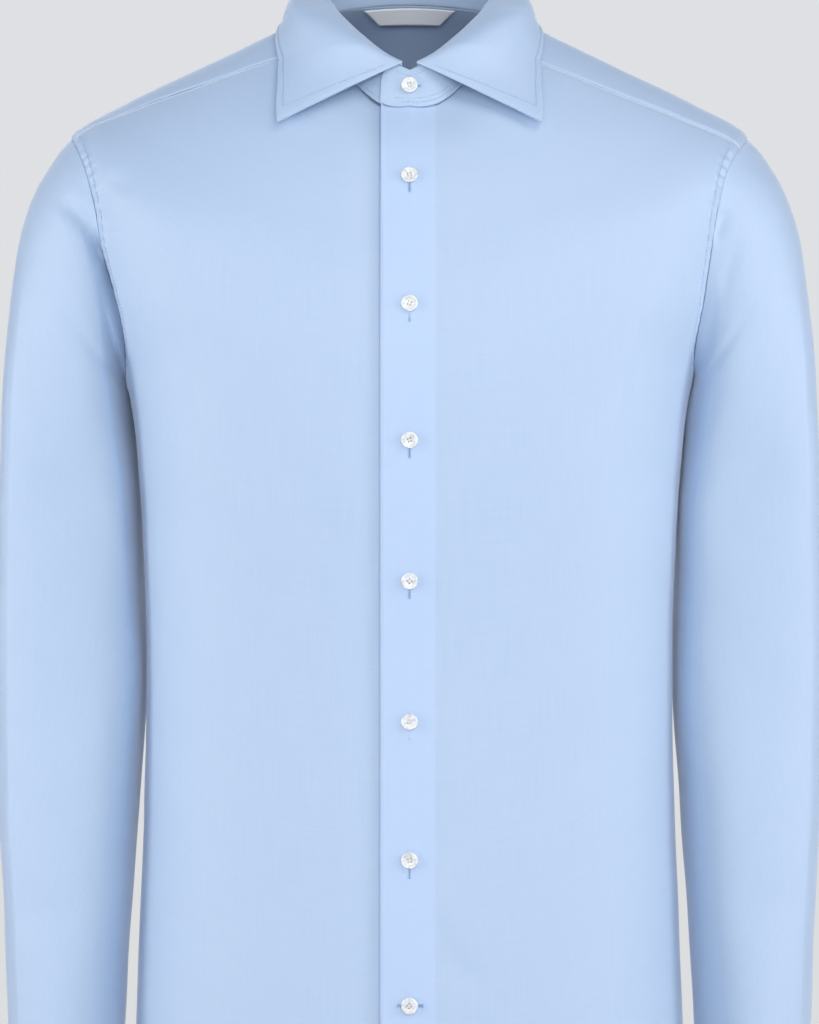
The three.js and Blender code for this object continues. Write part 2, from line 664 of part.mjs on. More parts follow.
["left", "right"].forEach(makeFront);
makeBack();
makeYoke();
["left", "right"].forEach(makeSleeve);
makeBand();
makeLeaf();
["left", "right"].forEach(makeCuff);
["left", "right"].forEach(makePlacket);
makeButtons();
makeLabel();

export default shirt;
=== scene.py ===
# %% [markdown]
# # A long sleeve dress shirt
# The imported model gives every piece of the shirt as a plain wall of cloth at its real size. This lesson
# dresses that frame: each wall is made again as a fine grid, laid on the same form, with its folds, seams
# and stitching. All sizes are in millimetres, and they turn to metres only where a vertex is placed.

# %% Load the fixed frame
import math

import bmesh
import bpy
import numpy as np
from mathutils import Matrix, Vector


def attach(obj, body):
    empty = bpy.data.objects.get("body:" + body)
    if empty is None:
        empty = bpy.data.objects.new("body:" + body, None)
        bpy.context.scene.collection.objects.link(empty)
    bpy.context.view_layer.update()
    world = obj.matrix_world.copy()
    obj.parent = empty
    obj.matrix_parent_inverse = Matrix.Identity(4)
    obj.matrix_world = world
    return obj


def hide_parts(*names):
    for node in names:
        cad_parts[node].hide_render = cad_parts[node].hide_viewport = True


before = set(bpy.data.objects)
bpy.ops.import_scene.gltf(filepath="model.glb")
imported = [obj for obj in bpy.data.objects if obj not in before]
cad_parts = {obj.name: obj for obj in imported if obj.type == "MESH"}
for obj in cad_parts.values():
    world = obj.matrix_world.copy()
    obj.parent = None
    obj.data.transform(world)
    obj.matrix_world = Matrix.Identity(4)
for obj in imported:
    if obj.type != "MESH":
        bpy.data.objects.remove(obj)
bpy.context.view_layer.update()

MM = 0.001
SIDES = {"left": 1, "right": -1}  # the wearer's own left is +X
print("the packed model has", len(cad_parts), "nodes")

# %% [markdown]
# ## Tables
# A shirt's form is written as short tables: one row for each section of the body or sleeve, one column for
# each size. A curve through a column's values gives the sections between, so that the cloth has no facets.

# %% Tables and the smooth curve through a column
def table(columns, rows):
    return {name: np.array([row[k] for row in rows], float) for k, name in enumerate(columns.split())}


def along(tab, column, place):
    rows = tab[column]
    ends = np.concatenate([[2 * rows[0] - rows[1]], rows, [2 * rows[-1] - rows[-2]]])
    at = np.clip(np.asarray(place, float), 0, len(rows) - 1)
    k = np.minimum(at.astype(int), len(rows) - 2)
    s = at - k
    p0, p1, p2, p3 = ends[k], ends[k + 1], ends[k + 2], ends[k + 3]
    cubic = 3 * p1 - p0 - 3 * p2 + p3
    square = 2 * p0 - 5 * p1 + 4 * p2 - p3
    return p1 + 0.5 * s * (p2 - p0 + s * (square + s * cubic))


def place_of(tab, key, value):
    return np.interp(value, tab[key], np.arange(len(tab[key])))


def mix(a, b, share):
    return a + (b - a) * share


def step(value, low, high):
    s = np.clip((value - low) / (high - low), 0, 1)
    return s * s * (3 - 2 * s)


# Torso rings, from the neck seam down to below the hem
RINGS = table("half_width side_y front_y back_y front_z side_z back_z square", [
    (61, -4, -72, 60, -83, -13, -2, 0.0),
    (94, -2, -88, 83, -107, -29, -25, 0.005),
    (143, 0, -99, 101, -132, -52.5, -53, 0.01),
    (191, 2, -107, 113, -157, -75, -81, 0.02),
    (229, 4, -114, 119, -181, -99, -110, 0.03),
    (228, 4, -120, 122, -206, -140, -148, 0.03),
    (214, 2, -124, 122, -234, -196, -200, 0.03),
    (192, 0, -126, 119, -267, -262, -264, 0.03),
    (182.7, -2, -124, 111, -335, -335, -335, 0.03),
    (178, -4, -119, 101, -440, -440, -440, 0.025),
    (179.5, -3, -121, 107, -550, -550, -550, 0.02),
    (184.6, -2, -126, 117, -680, -680, -680, 0.02),
    (188, -2, -129, 121, -810, -810, -810, 0.02),
])
UNDERARM = 7
FRONT_HEM, SIDE_HEM = -786, -716
OVER_EDGE, UNDER_EDGE = 19, 17
print("torso rings:", len(RINGS["half_width"]))

# %% [markdown]
# ## The form of the body
# A filled shirt is a tube whose section is a slightly squared ellipse. Two numbers find any spot on it: the
# angle round the body, from 0 at the centre front to 180 at the centre back, and the ring, counted down
# from the neck. At the front the neck seam dips a little more than an ellipse does, because a collar pulls
# it flat.

# %% Points of the torso
STEP_DEGREES, STEP_RING = 0.5, 0.02  # how far apart the points are that give a normal
DEGREES = 57  # in a radian, near enough for the search below
HEM_STEP = 130  # mm of height that a ring is worth near the hem


def squared(angle, square):
    a = np.radians(angle)
    wide = (np.sin(a) + square * np.sin(3 * a)) / (1 - square)
    deep = (np.cos(a) - square * np.cos(3 * a)) / (1 - square)
    return wide, deep


NECK_DROP = table("angle drop", [
    (0, 0.4), (9, 2.6), (18, 5.0), (27, 6.6), (36, 8.2), (46, 9.0), (56, 6.5), (70, 2.5), (90, 0), (180, 0),
])


def from_front(angle):
    """An angle round the body as 0 to 180, the same on both sides."""
    return np.abs((np.asarray(angle, float) + 540) % 360 - 180)


def neck_drop(angle, ring):
    place = place_of(NECK_DROP, "angle", from_front(angle))
    return along(NECK_DROP, "drop", place) * (1 - step(ring, 0, 1.6))


def torso_point(angle, ring):
    wide, deep = squared(angle, along(RINGS, "square", ring))
    side_y, side_z = along(RINGS, "side_y", ring), along(RINGS, "side_z", ring)
    in_front = deep >= 0
    end_y = np.where(in_front, along(RINGS, "front_y", ring), along(RINGS, "back_y", ring))
    end_z = np.where(in_front, along(RINGS, "front_z", ring), along(RINGS, "back_z", ring))
    x = along(RINGS, "half_width", ring) * wide
    z = side_z + deep**2 * (end_z - side_z) - neck_drop(angle, ring)
    return np.stack([x, side_y + np.abs(deep) * (end_y - side_y), z], -1)


def unit(v):
    return v / np.maximum(np.linalg.norm(v, axis=-1, keepdims=True), 1e-9)


def torso_normal(angle, ring):
    around = torso_point(angle + STEP_DEGREES, ring) - torso_point(angle - STEP_DEGREES, ring)
    down = torso_point(angle, ring + STEP_RING) - torso_point(angle, np.maximum(0, ring - STEP_RING))
    return -unit(np.cross(around, down))


def torso(angle, ring, lift=0.0):
    angle, ring = np.broadcast_arrays(np.asarray(angle, float), np.asarray(ring, float))
    lift = np.broadcast_to(lift, angle.shape)
    return torso_point(angle, ring) + torso_normal(angle, ring) * lift[..., None]


def angle_at(x, ring):
    angle = np.zeros(np.broadcast(x, ring).shape)
    for _ in range(6):
        missing = x - torso_point(angle, ring)[..., 0]
        angle = angle + missing / along(RINGS, "half_width", ring) * DEGREES
    return angle


def hem_ring(angle):
    tail = np.cos(2 * np.radians(angle)) * 0.5 + 0.5
    height = mix(SIDE_HEM, FRONT_HEM, tail * tail * (3 - 2 * tail))
    ring = np.full(np.shape(angle), len(RINGS["side_z"]) - 1.5)
    for _ in range(8):
        ring = ring + (torso_point(angle, ring)[..., 2] - height) / HEM_STEP
    return ring


# How many degrees the armhole reaches to the front, for each turn round it. Its back reaches BACK_REACH.
FRONT_REACH = {
    "left": table("turn reach", [
        (-90, 0), (-60, 14.5), (-30, 23.5), (0, 28.8), (30, 30), (55, 28), (75, 20.5), (90, 0),
    ]),
    "right": table("turn reach", [
        (-90, 0), (-60, 14.5), (-30, 24), (0, 25.8), (30, 27), (55, 24), (75, 15), (90, 0),
    ]),
}
BACK_REACH, SHOULDER_RING = 27, 4


def armhole(side, turn):
    t = np.radians(turn)
    front = along(FRONT_REACH[side], "reach", place_of(FRONT_REACH[side], "turn", turn))
    reach = np.where(np.cos(t) >= 0, front, BACK_REACH * np.cos(t))
    return 90 - reach, mix(SHOULDER_RING, UNDERARM, 0.5 - 0.5 * np.sin(t))


print("underarm at", torso_point(90.0, 7.0).round(1))

# %% [markdown]
# ## Cloth colours
# Shirting is dyed cotton, so its colour is given as it looks, in sRGB hex, and one function turns it to the
# linear values that the renderer mixes. A second helper adds a node and sets or links its sockets in one
# go.

# %% Colours and node helper
def linear(hex_colour):
    parts = [int(hex_colour[k : k + 2], 16) / 255 for k in (1, 3, 5)]
    return [c / 12.92 if c <= 0.04045 else ((c + 0.055) / 1.055) ** 2.4 for c in parts] + [1.0]


def node(tree, kind, settings=None, **inputs):
    made = tree.nodes.new(kind)
    for key, value in (settings or {}).items():
        setattr(made, key, value)
    for key, value in inputs.items():
        socket = made.inputs[int(key[1:]) if key[0] == "_" else key.replace("_", " ")]
        if isinstance(value, bpy.types.NodeSocket):
            tree.links.new(value, socket)
        else:
            socket.default_value = value
    return made


def new_material(name):
    material = bpy.data.materials.new(name)
    material.use_nodes = True
    tree = material.node_tree
    tree.nodes.clear()
    return material, tree


def two_tones(tree, share, first, second):
    return node(tree, "ShaderNodeMix", {"data_type": "RGBA"}, Factor=share, _6=first, _7=second).outputs[2]


def surface(tree, **sockets):
    shader = node(tree, "ShaderNodeBsdfPrincipled", **sockets)
    node(tree, "ShaderNodeOutputMaterial", Surface=shader.outputs["BSDF"])


PALE_BLUE, DEEP_BLUE, DOUBLED_BLUE = "#A2BDDB", "#98B4D5", "#A8C5EC"
print("shirting blue:", [round(c, 3) for c in linear(PALE_BLUE)])

# %% [markdown]
# ## Light blue cotton twill
# The shirt is a fine two-ply cotton twill: yarns of 0.25 mm, which the camera can't part, pressed to a soft
# gloss (the coat), with a nap that brightens at grazing angles (the sheen). Its ribs are drawn 0.9 mm
# apart, three times their real pitch, so that a close look finds them. Uneven yarns give faint streaks
# along the length and across it. Where the front edge is turned in, the cloth lies double and looks a
# little bluer.

# %% Material: cotton twill
RIB_MM, RIB_TURN = 0.9, 63  # distance between the ribs, and their slant in degrees
YARNS = {"long": (900, 22, 1), "cross": (18, 800, 1)}  # streaks in each metre, across and along a yarn
NAP_GRAINS = 1400  # in a metre
DOUBLE_SHARE, DOUBLE_BLEND = 0.55, 0.6  # how much of the bluer tone shows, and half the width of its edge


def twill_material(name, doubled=None):
    material, tree = new_material(name)
    uv = node(tree, "ShaderNodeUVMap", {"uv_map": "cloth"}).outputs["UV"]
    slant = node(tree, "ShaderNodeMapping", Vector=uv, Rotation=(0, 0, math.radians(RIB_TURN)))
    ribs = node(
        tree, "ShaderNodeTexWave", {"wave_type": "BANDS", "bands_direction": "X", "wave_profile": "SIN"},
        Vector=slant.outputs["Vector"], Scale=1000 / RIB_MM / 20 * math.tau / 2, Distortion=0.6, Detail=2.0,
    )
    streaks = []
    for scale in YARNS.values():
        drawn = node(tree, "ShaderNodeMapping", Vector=uv, Scale=scale)
        noise = node(tree, "ShaderNodeTexNoise", Vector=drawn.outputs["Vector"], Scale=1.0, Detail=3.0)
        streaks.append(noise.outputs["Fac"])
    both = node(tree, "ShaderNodeMath", {"operation": "ADD"}, _0=streaks[0], _1=streaks[1])
    share = node(tree, "ShaderNodeMapRange", Value=both.outputs[0], From_Min=0.5, From_Max=1.5)
    tone = two_tones(tree, share.outputs["Result"], linear(PALE_BLUE), linear(DEEP_BLUE))
    if doubled:
        place = node(tree, "ShaderNodeTexCoord")
        across = node(tree, "ShaderNodeSeparateXYZ", Vector=place.outputs["Object"])
        near_edge = node(
            tree, "ShaderNodeMapRange", Value=across.outputs["X"], To_Max=DOUBLE_SHARE,
            From_Min=(UNDER_EDGE + DOUBLE_BLEND) * MM, From_Max=(UNDER_EDGE - DOUBLE_BLEND) * MM,
        )
        tone = two_tones(tree, near_edge.outputs["Result"], tone, linear(doubled))
    nap = node(tree, "ShaderNodeTexNoise", Vector=uv, Scale=float(NAP_GRAINS), Detail=2.0)
    relief = node(
        tree, "ShaderNodeMath", {"operation": "MULTIPLY_ADD"},
        _0=nap.outputs["Fac"], _1=0.7, _2=ribs.outputs["Fac"],
    )
    bump = node(tree, "ShaderNodeBump", Height=relief.outputs[0], Strength=0.12, Distance=0.0002)
    surface(
        tree, Base_Color=tone, Roughness=0.75, IOR=2.0, Specular_IOR_Level=1.0, Coat_Weight=0.9,
        Coat_Roughness=0.72, Coat_IOR=1.9, Sheen_Weight=0.8, Sheen_Roughness=0.45,
        Sheen_Tint=linear("#E9F0FA"), Normal=bump.outputs["Normal"],
    )
    return material


twill = twill_material("cotton_twill")
front_twill = twill_material("cotton_twill_with_turned_edge", DOUBLED_BLUE)
print("made", twill.name, "and", front_twill.name)

# %% [markdown]
# ## Sewing thread, buttons and label
# The seams are sewn in polyester thread dyed to match, a little glossier than the cloth. The buttons are
# turned from mother of pearl: a hard shell with a clear gloss and cloudy, faintly banded colour. The neck
# label is a blank white satin tape, whose long floats catch the light in fine level streaks.

# %% Materials: thread, mother of pearl, satin tape
def thread_material(name, light, dark):
    material, tree = new_material(name)
    place = node(tree, "ShaderNodeTexCoord")
    twist = node(tree, "ShaderNodeTexNoise", Vector=place.outputs["Object"], Scale=3000.0, Detail=1.0)
    tone = two_tones(tree, twist.outputs["Fac"], linear(light), linear(dark))
    surface(tree, Base_Color=tone, Roughness=0.5, IOR=1.5, Sheen_Weight=0.2)
    return material


def pearl_material():
    material, tree = new_material("mother_of_pearl")
    place = node(tree, "ShaderNodeTexCoord")
    clouds = node(
        tree, "ShaderNodeTexNoise", Vector=place.outputs["Object"], Scale=260.0, Detail=4.0, Distortion=1.4
    )
    ramp = node(tree, "ShaderNodeValToRGB", Fac=clouds.outputs["Fac"])
    stops = ramp.color_ramp.elements
    stops[0].position, stops[0].color = 0.32, linear("#C9CCCB")
    stops[1].position, stops[1].color = 0.68, linear("#F6F4EF")
    for position, colour in ((0.45, "#E6E1DA"), (0.56, "#E9EEF2")):
        stops.new(position).color = linear(colour)
    surface(
        tree, Base_Color=ramp.outputs["Color"], Roughness=0.22, IOR=1.53, Coat_Weight=0.5, Coat_Roughness=0.08
    )
    return material


def satin_material():
    material, tree = new_material("satin_tape")
    place = node(tree, "ShaderNodeTexCoord")
    grain = node(tree, "ShaderNodeMapping", Vector=place.outputs["Object"], Scale=(200, 200, 2600))
    floats = node(tree, "ShaderNodeTexNoise", Vector=grain.outputs["Vector"], Scale=1.0, Detail=2.0)
    tone = two_tones(tree, floats.outputs["Fac"], linear("#FFFFFF"), linear("#F4F4F2"))
    bump = node(tree, "ShaderNodeBump", Height=floats.outputs["Fac"], Strength=0.1, Distance=0.0001)
    surface(tree, Base_Color=tone, Roughness=0.4, IOR=1.5, Sheen_Weight=0.3, Normal=bump.outputs["Normal"])
    return material


thread = thread_material("matched_thread", "#A9C4E6", "#9AB7DD")
white_thread = thread_material("white_thread", "#F2F2F0", "#DADCE0")
# Painted shade: a dark blue for the buttonhole slits, standing in for the shadow in the cut, not a thread
# colour.
slit_shade_material = thread_material("slit_painted_shade", "#5F7FB4", "#4C6BA2")
pearl = pearl_material()
satin = satin_material()
print("materials:", len(bpy.data.materials))

# %% [markdown]
# ## How a panel is made
# Each cut piece starts as a flat grid, like the cloth on the cutting table, and every vertex is then
# carried to its place on the form. The grid keeps a map of its own lengths along and across, so the weave
# follows the thread. A Solidify modifier gives the wall, and a small bevel rounds the cut edges of the
# stiff pieces. Cloth simulation could lay the panels too, but a form from sizes gives the same shirt each
# time.

# %% Helper: a panel of cloth
def grid_panel(name, columns, rows, place, axis=(0, 0), closed=False, inward=False):
    """A grid laid by place(), with its faces turned away from an upright axis, or towards it."""
    bm = bmesh.new()
    bmesh.ops.create_grid(bm, x_segments=columns, y_segments=rows, size=0.5)
    flat = np.array([(v.co.x + 0.5, v.co.y + 0.5) for v in bm.verts])
    points = place(flat[:, 0], flat[:, 1])
    cells = np.rint(flat * (columns, rows)).astype(int)
    laid = np.zeros((rows + 1, columns + 1, 3))
    laid[cells[:, 1], cells[:, 0]] = points
    lengths = np.zeros((rows + 1, columns + 1, 2))
    lengths[:, 1:, 0] = np.cumsum(np.linalg.norm(np.diff(laid, axis=1), axis=2), axis=1)
    lengths[1:, :, 1] = np.cumsum(np.linalg.norm(np.diff(laid, axis=0), axis=2), axis=0)
    chart = bm.loops.layers.uv.new("cloth")
    spots = {v: lengths[j, i] * MM for v, (i, j) in zip(bm.verts, cells)}
    for face in bm.faces:
        for loop in face.loops:
            loop[chart].uv = spots[loop.vert]
    for v, p in zip(bm.verts, points * MM):
        v.co = p
    if closed:
        bmesh.ops.remove_doubles(bm, verts=bm.verts, dist=1e-6)
    bm.normal_update()
    centre, level = Vector((axis[0] * MM, axis[1] * MM, 0)), Vector((1, 1, 0))
    out = sum(f.normal.dot(((f.calc_center_median() - centre) * level).normalized()) for f in bm.faces)
    if (out < 0) != inward:
        bmesh.ops.reverse_faces(bm, faces=bm.faces)
    area = sum(f.calc_area() for f in bm.faces)
    return finish_mesh(name, bm), area


def finish_mesh(name, bm):
    mesh = bpy.data.meshes.new(name)
    bm.to_mesh(mesh)
    bm.free()
    mesh.polygons.foreach_set("use_smooth", [True] * len(mesh.polygons))
    piece = bpy.data.objects.new(name, mesh)
    bpy.context.scene.collection.objects.link(piece)
    return piece


def give_wall(piece, thickness_mm, rounding_mm=0.0):
    wall = piece.modifiers.new("wall", "SOLIDIFY")
    wall.thickness = thickness_mm * MM
    wall.offset = -1
    if rounding_mm:
        edge = piece.modifiers.new("rounded edge", "BEVEL")
        edge.width = rounding_mm * MM
        edge.segments = 2
        edge.limit_method = "ANGLE"
        edge.angle_limit = math.radians(60)
        edge.harden_normals = False


def dress(piece, material, slot, *nodes):
    piece.data.materials.clear()
    piece.data.materials.append(material)
    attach(piece, "root")
    if nodes:
        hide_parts(*nodes)


def sewn_sheet(piece, flat, area):
    print(piece.name, "cut", flat, "m, flat area", round(area, 4), "m2")


def sides_of(c):
    """For a piece that crosses the middle: the share of the way to it, and the sign of the side."""
    return 1 - np.abs(c - 0.5) * 2, np.where(c <= 0.5, 1, -1)


def turned_to(points, sign):
    """The points of the left side, moved to the side that the sign gives."""
    return points * np.stack([sign, np.ones_like(sign), np.ones_like(sign)], -1)

# %% [markdown]
# ## Folds and seams
# Worn cloth is never quite even. Each fold is a row in a table: a soft trough or ridge along a bent line,
# with its own height and width. A seam is a fine groove where two pieces meet, and a felled seam has a
# raised band beside it, which puckers a little where the thread is tight. Topstitching is made as real
# stitches, in rows.

# %% Helpers: folds, seam grooves and a gentle unevenness
def line_distance(points, line):
    best = np.full(len(points), 1e9)
    run = np.zeros(len(points))
    start = 0.0
    for a, b in zip(line[:-1], line[1:]):
        ab = b - a
        size = max(np.linalg.norm(ab), 1e-6)
        s = np.clip(((points - a) @ ab) / size**2, 0, 1)
        d = np.linalg.norm(points - (a + s[:, None] * ab), axis=1)
        nearer = d < best
        best = np.where(nearer, d, best)
        run = np.where(nearer, start + s * size, run)
        start += size
    return best, run / start, start


def bent_line(start, middle, end, count=9):
    s = np.linspace(0, 1, count)[:, None]
    a, m, b = np.array(start), np.array(middle), np.array(end)
    pull = 2 * m - (a + b) / 2
    return (1 - s) ** 2 * a + 2 * s * (1 - s) * pull + s**2 * b


def folds(spots, tab, spread=None):
    """The height of a table's folds at flat spots. A row begins with its line's start, middle and end."""
    total = np.zeros(len(spots))
    for row in zip(*tab.values()):
        ends = [row[0:2], row[2:4], row[4:6]]
        if spread:
            ends = [spread(*end) for end in ends]
        width, height, start_fade, end_fade = row[6:]
        d, s, _ = line_distance(spots, bent_line(*ends))
        fade = step(s, 0, start_fade) * (1 - step(s, 1 - end_fade, 1))
        total += height * fade * np.exp(-((d / width) ** 2))
    return total


def uneven(points, size_mm, seed):
    x, y, z = (points / size_mm).T
    return (
        np.sin(1.7 * x + 0.9 * z + seed) * np.cos(0.8 * z - 1.1 * y + 2 * seed)
        + 0.5 * np.sin(2.9 * z + 1.3 * x + 3 * seed) * np.sin(2.3 * x - 0.7 * y + seed)
    )


def groove(distance, depth=0.22, width=0.9):
    return -depth * np.exp(-((distance / width) ** 2))


SEAM_HEIGHT, PUCKER_HEIGHT, PUCKER_PITCH, PUCKER_MIDDLE, PUCKER_WIDTH = 0.45, 0.62, 8.5, 4.6, 3.4


def felled(distance, run, length, strength):
    band = SEAM_HEIGHT * step(distance, 0.2, 1.4) * (1 - step(distance, 7.5, 9.5))
    wave = np.sin(2 * np.pi * run * length / PUCKER_PITCH + 1.5 * np.sin(run * 23))
    pucker = PUCKER_HEIGHT * wave * np.exp(-(((distance - PUCKER_MIDDLE) / PUCKER_WIDTH) ** 2))
    return groove(distance) + band + pucker * strength


STITCH_PITCH, STITCH_LENGTH, THREAD_RADIUS, THREAD_PROUD = 2.4, 1.7, 0.2, 0.05


def rod(bm, start, end, radius, length):
    """A thin rod of that length round the middle of two points, in metres."""
    turn = (end - start).to_track_quat("Z", "Y").to_matrix().to_4x4()
    where = Matrix.Translation((start + end) / 2) @ turn
    bmesh.ops.create_cone(
        bm, cap_ends=True, segments=6, radius1=radius, radius2=radius, depth=length, matrix=where
    )


def sew(name, points, normals):
    """A row of stitches along a line of points, as thin rods that stand a little proud of the cloth."""
    run = np.concatenate([[0], np.cumsum(np.linalg.norm(np.diff(points, axis=0), axis=1))])

    def on(line, at):
        return Vector([float(np.interp(at, run, line[:, k])) for k in range(3)])

    bm = bmesh.new()
    for start in np.arange(0, run[-1] - STITCH_LENGTH, STITCH_PITCH):
        lift = on(normals, start) * THREAD_PROUD
        a, b = on(points, start) + lift, on(points, start + STITCH_LENGTH) + lift
        rod(bm, a * MM, b * MM, THREAD_RADIUS * MM, STITCH_LENGTH * MM)
    dress(finish_mesh(name, bm), thread, "shirting")


print("helpers ready")

# %% [markdown]
# ## The two fronts
# Each front is one piece from the shoulder seam to the curved hem. Its front edge is turned in twice and
# pressed, with no stitching outside, so the buttonhole front shows as a clean fold over the button front.
# The grid's columns run down the cloth, and its rows reach from the front edge to the side seam and the
# armhole. Below the chest the armhole dives inward, where the sleeve's cloth and the front's meet in a deep
# crease.

# %% Places on a front
BODY_ROWS, CHEST_ROWS, NECK_ROWS, CAP_STEPS = 9, 6, 8, 6
ARM_ROWS = CHEST_ROWS + NECK_ROWS
FRONT_TURN = {"left": 78, "right": 82}
BACK_TURN, BACK_RING, BACK_NECK, FRONT_NECK = 127, 3.6, 112, 56
CLOTH_WALL = 0.8
LOWEST_RING = len(RINGS["side_z"]) - 1.3


def front_place(side, u, j, edge):
    up = np.clip(j / BODY_ROWS, 0, 1)
    low_edge = angle_at(-edge, mix(LOWEST_RING, UNDERARM, up))
    low_angle = mix(low_edge, 90, u)
    low_ring = mix(hem_ring(low_angle), UNDERARM, up)
    k = np.clip(j - BODY_ROWS, 0, None)
    arm_angle, arm_ring = armhole(side, mix(-90, FRONT_TURN[side], k / ARM_ROWS))
    ring = UNDERARM * np.clip(1 - k / CHEST_ROWS, 0, 1)
    inner = mix(angle_at(-edge, ring), FRONT_NECK, np.clip(k - CHEST_ROWS, 0, None) / NECK_ROWS)
    angle = np.where(j > BODY_ROWS, mix(inner, arm_angle, u), low_angle)
    return angle, np.where(j > BODY_ROWS, mix(ring, arm_ring, u), low_ring)


def armhole_line(side, first, last, count=70):
    return torso(*armhole(side, np.linspace(first, last, count)))


CREASE = {"left": 1.0, "right": 12.0}  # how deep the seam dives at the armpit
CREASE_WIDTH = {"front": 3.5, "sleeve": 7}


def crease(side, turn, away, width):
    held = step(-turn, -16, 18) * (1 - 0.5 * step(-turn, 55, 88))
    return CREASE[side] * held * np.exp(-((away / width) ** 2))


def yoke_front_line(side, count=30):
    v = np.linspace(0, 1, count)
    end_angle, end_ring = armhole(side, FRONT_TURN[side])
    return torso(mix(FRONT_NECK, end_angle, v), end_ring * v)


print("front corner at the neck:", torso(FRONT_NECK, 0.0).round(1))

# %% [markdown]
# The folds are placed one by one: a dip beside each armhole, slack at the waist, and small drags between the
# lower buttons, where the two layers of the front edge shift on each other.

# %% Folds of the fronts, in millimetres from the centre line and the neck
FOLD_COLUMNS = "x0 z0 xm zm x1 z1 width height start_fade end_fade"
FRONT_FOLDS = {
    "left": table(FOLD_COLUMNS, [
        (203, -142, 190, -152, 176, -168, 8, -1.6, 0.3, 0.6),
        (186, -262, 160, -240, 128, -212, 16, -1.6, 0.2, 0.7),
        (188, -310, 150, -330, 96, -372, 20, -1.5, 0.3, 0.7),
        (14, -586, 24, -612, 34, -640, 6, 1.5, 0.4, 0.5),
        (22, -630, 36, -652, 60, -672, 8, -2.1, 0.4, 0.6),
        (4, -640, 2, -652, 1, -664, 7, 1.3, 0.4, 0.5),
        (8, -598, -4, -600, -16, -598, 6, -0.6, 0.4, 0.4),
        (160, -480, 120, -500, 70, -560, 26, -1.2, 0.4, 0.6),
        (130, -620, 110, -680, 100, -760, 22, 1.4, 0.5, 0.3),
        (60, -600, 54, -680, 62, -770, 20, -1.0, 0.5, 0.3),
    ]),
    "right": table(FOLD_COLUMNS, [
        (-203, -128, -192, -133, -176, -137, 7, -0.9, 0.3, 0.6),
        (-187, -262, -162, -244, -132, -220, 15, -1.4, 0.2, 0.7),
        (-186, -330, -150, -352, -100, -392, 20, -1.4, 0.3, 0.7),
        (-165, -470, -130, -500, -84, -560, 26, -1.2, 0.4, 0.6),
        (-120, -610, -104, -680, -96, -760, 22, 1.3, 0.5, 0.3),
        (-50, -590, -46, -680, -54, -770, 20, -0.9, 0.5, 0.3),
    ]),
}
print("front folds:", sum(len(t["x0"]) for t in FRONT_FOLDS.values()))

# %% [markdown]
# The buttonhole front lies over the button front, so it stands a little higher near its edge and the other
# one lower. Its folded edge is a thin roll. One felled seam, with its row of stitches, follows the armhole.

# %% The fronts
OVER_RISE, OVER_BLEND, DOUBLE_LAYER, ROLL_HEIGHT, ROLL_WIDTH = 0.3, 24, 0.45, 0.5, 1.6
UNDER_DROP, SLACK, SEAM_MARGIN, ROW_INSET = 2.1, 0.25, 30, 6.6


def front_lift(side, x):
    if side == "right":
        return -UNDER_DROP * (1 - step(-x, OVER_EDGE + 2, OVER_EDGE + 26))
    over = 1 - step(x, OVER_EDGE, OVER_EDGE + OVER_BLEND)
    double_layer = DOUBLE_LAYER * (1 - step(x, UNDER_EDGE - 0.8, UNDER_EDGE + 0.8))
    rolled = ROLL_HEIGHT * np.exp(-(((x + OVER_EDGE - 1.2) / ROLL_WIDTH) ** 2))
    return OVER_RISE * over + double_layer + rolled


def make_front(side):
    sign = SIDES[side]
    edge = OVER_EDGE if side == "left" else UNDER_EDGE
    arm_line, yoke_line = armhole_line(side, -90, FRONT_TURN[side]), yoke_front_line(side)

    def place(c, v):
        angle, ring = front_place(side, c, v * (BODY_ROWS + ARM_ROWS), edge)
        bare = torso_point(angle, ring)
        to_arm, run, length = line_distance(bare, arm_line)
        to_yoke = line_distance(bare, yoke_line)[0]
        shown = bare * (sign, 1, 1)
        strength = 0.35 + 0.65 * step(run, 0.35, 0.75)
        lift = front_lift(side, shown[:, 0]) + felled(to_arm, run, length, strength) + groove(to_yoke)
        lift = lift + folds(shown[:, [0, 2]], FRONT_FOLDS[side])
        lift = lift + SLACK * uneven(shown, 34, sign) * step(to_arm, 4, SEAM_MARGIN)
        made = torso(angle, ring, lift) * (sign, 1, 1)
        made[:, 1] += crease(side, mix(-90, FRONT_TURN[side], run), to_arm, CREASE_WIDTH["front"])
        return made

    piece, area = grid_panel("front_%s_cloth" % side, 112, 190, place)
    give_wall(piece, CLOTH_WALL)
    dress(piece, front_twill if side == "left" else twill, "shirting", "front_" + side)
    sewn_sheet(piece, (0.30, 0.80), area)


def armhole_stitches(side):
    turns = np.linspace(-60, FRONT_TURN[side] - 3, 120)
    line = armhole_line(side, turns[0], turns[-1], len(turns))
    out = torso_normal(*armhole(side, turns))
    inward = unit(np.cross(unit(np.gradient(line, axis=0)), out))
    inward *= np.sign(-inward[:, :1])
    row = line + inward * ROW_INSET + out * 0.35
    sew("armhole_stitches_" + side, row * (SIDES[side], 1, 1), out * (SIDES[side], 1, 1))


for side in SIDES:
    make_front(side)
for side in SIDES:
    armhole_stitches(side)

# %% [markdown]
# ## Back and yoke
# The back hangs plain from the yoke, a shaped piece that goes over both shoulders in one, with its front
# edges sewn to the fronts and its lower edge across the shoulder blades. Both are grids on the same torso
# form, made for the left side and mirrored. The back's folds are guessed: drags from the armpits and slack
# at the waist.

# %% The back
def back_seam(share):
    angle, ring = armhole("left", BACK_TURN)
    return mix(angle, 180, share), mix(ring, BACK_RING, share * (2 - share))


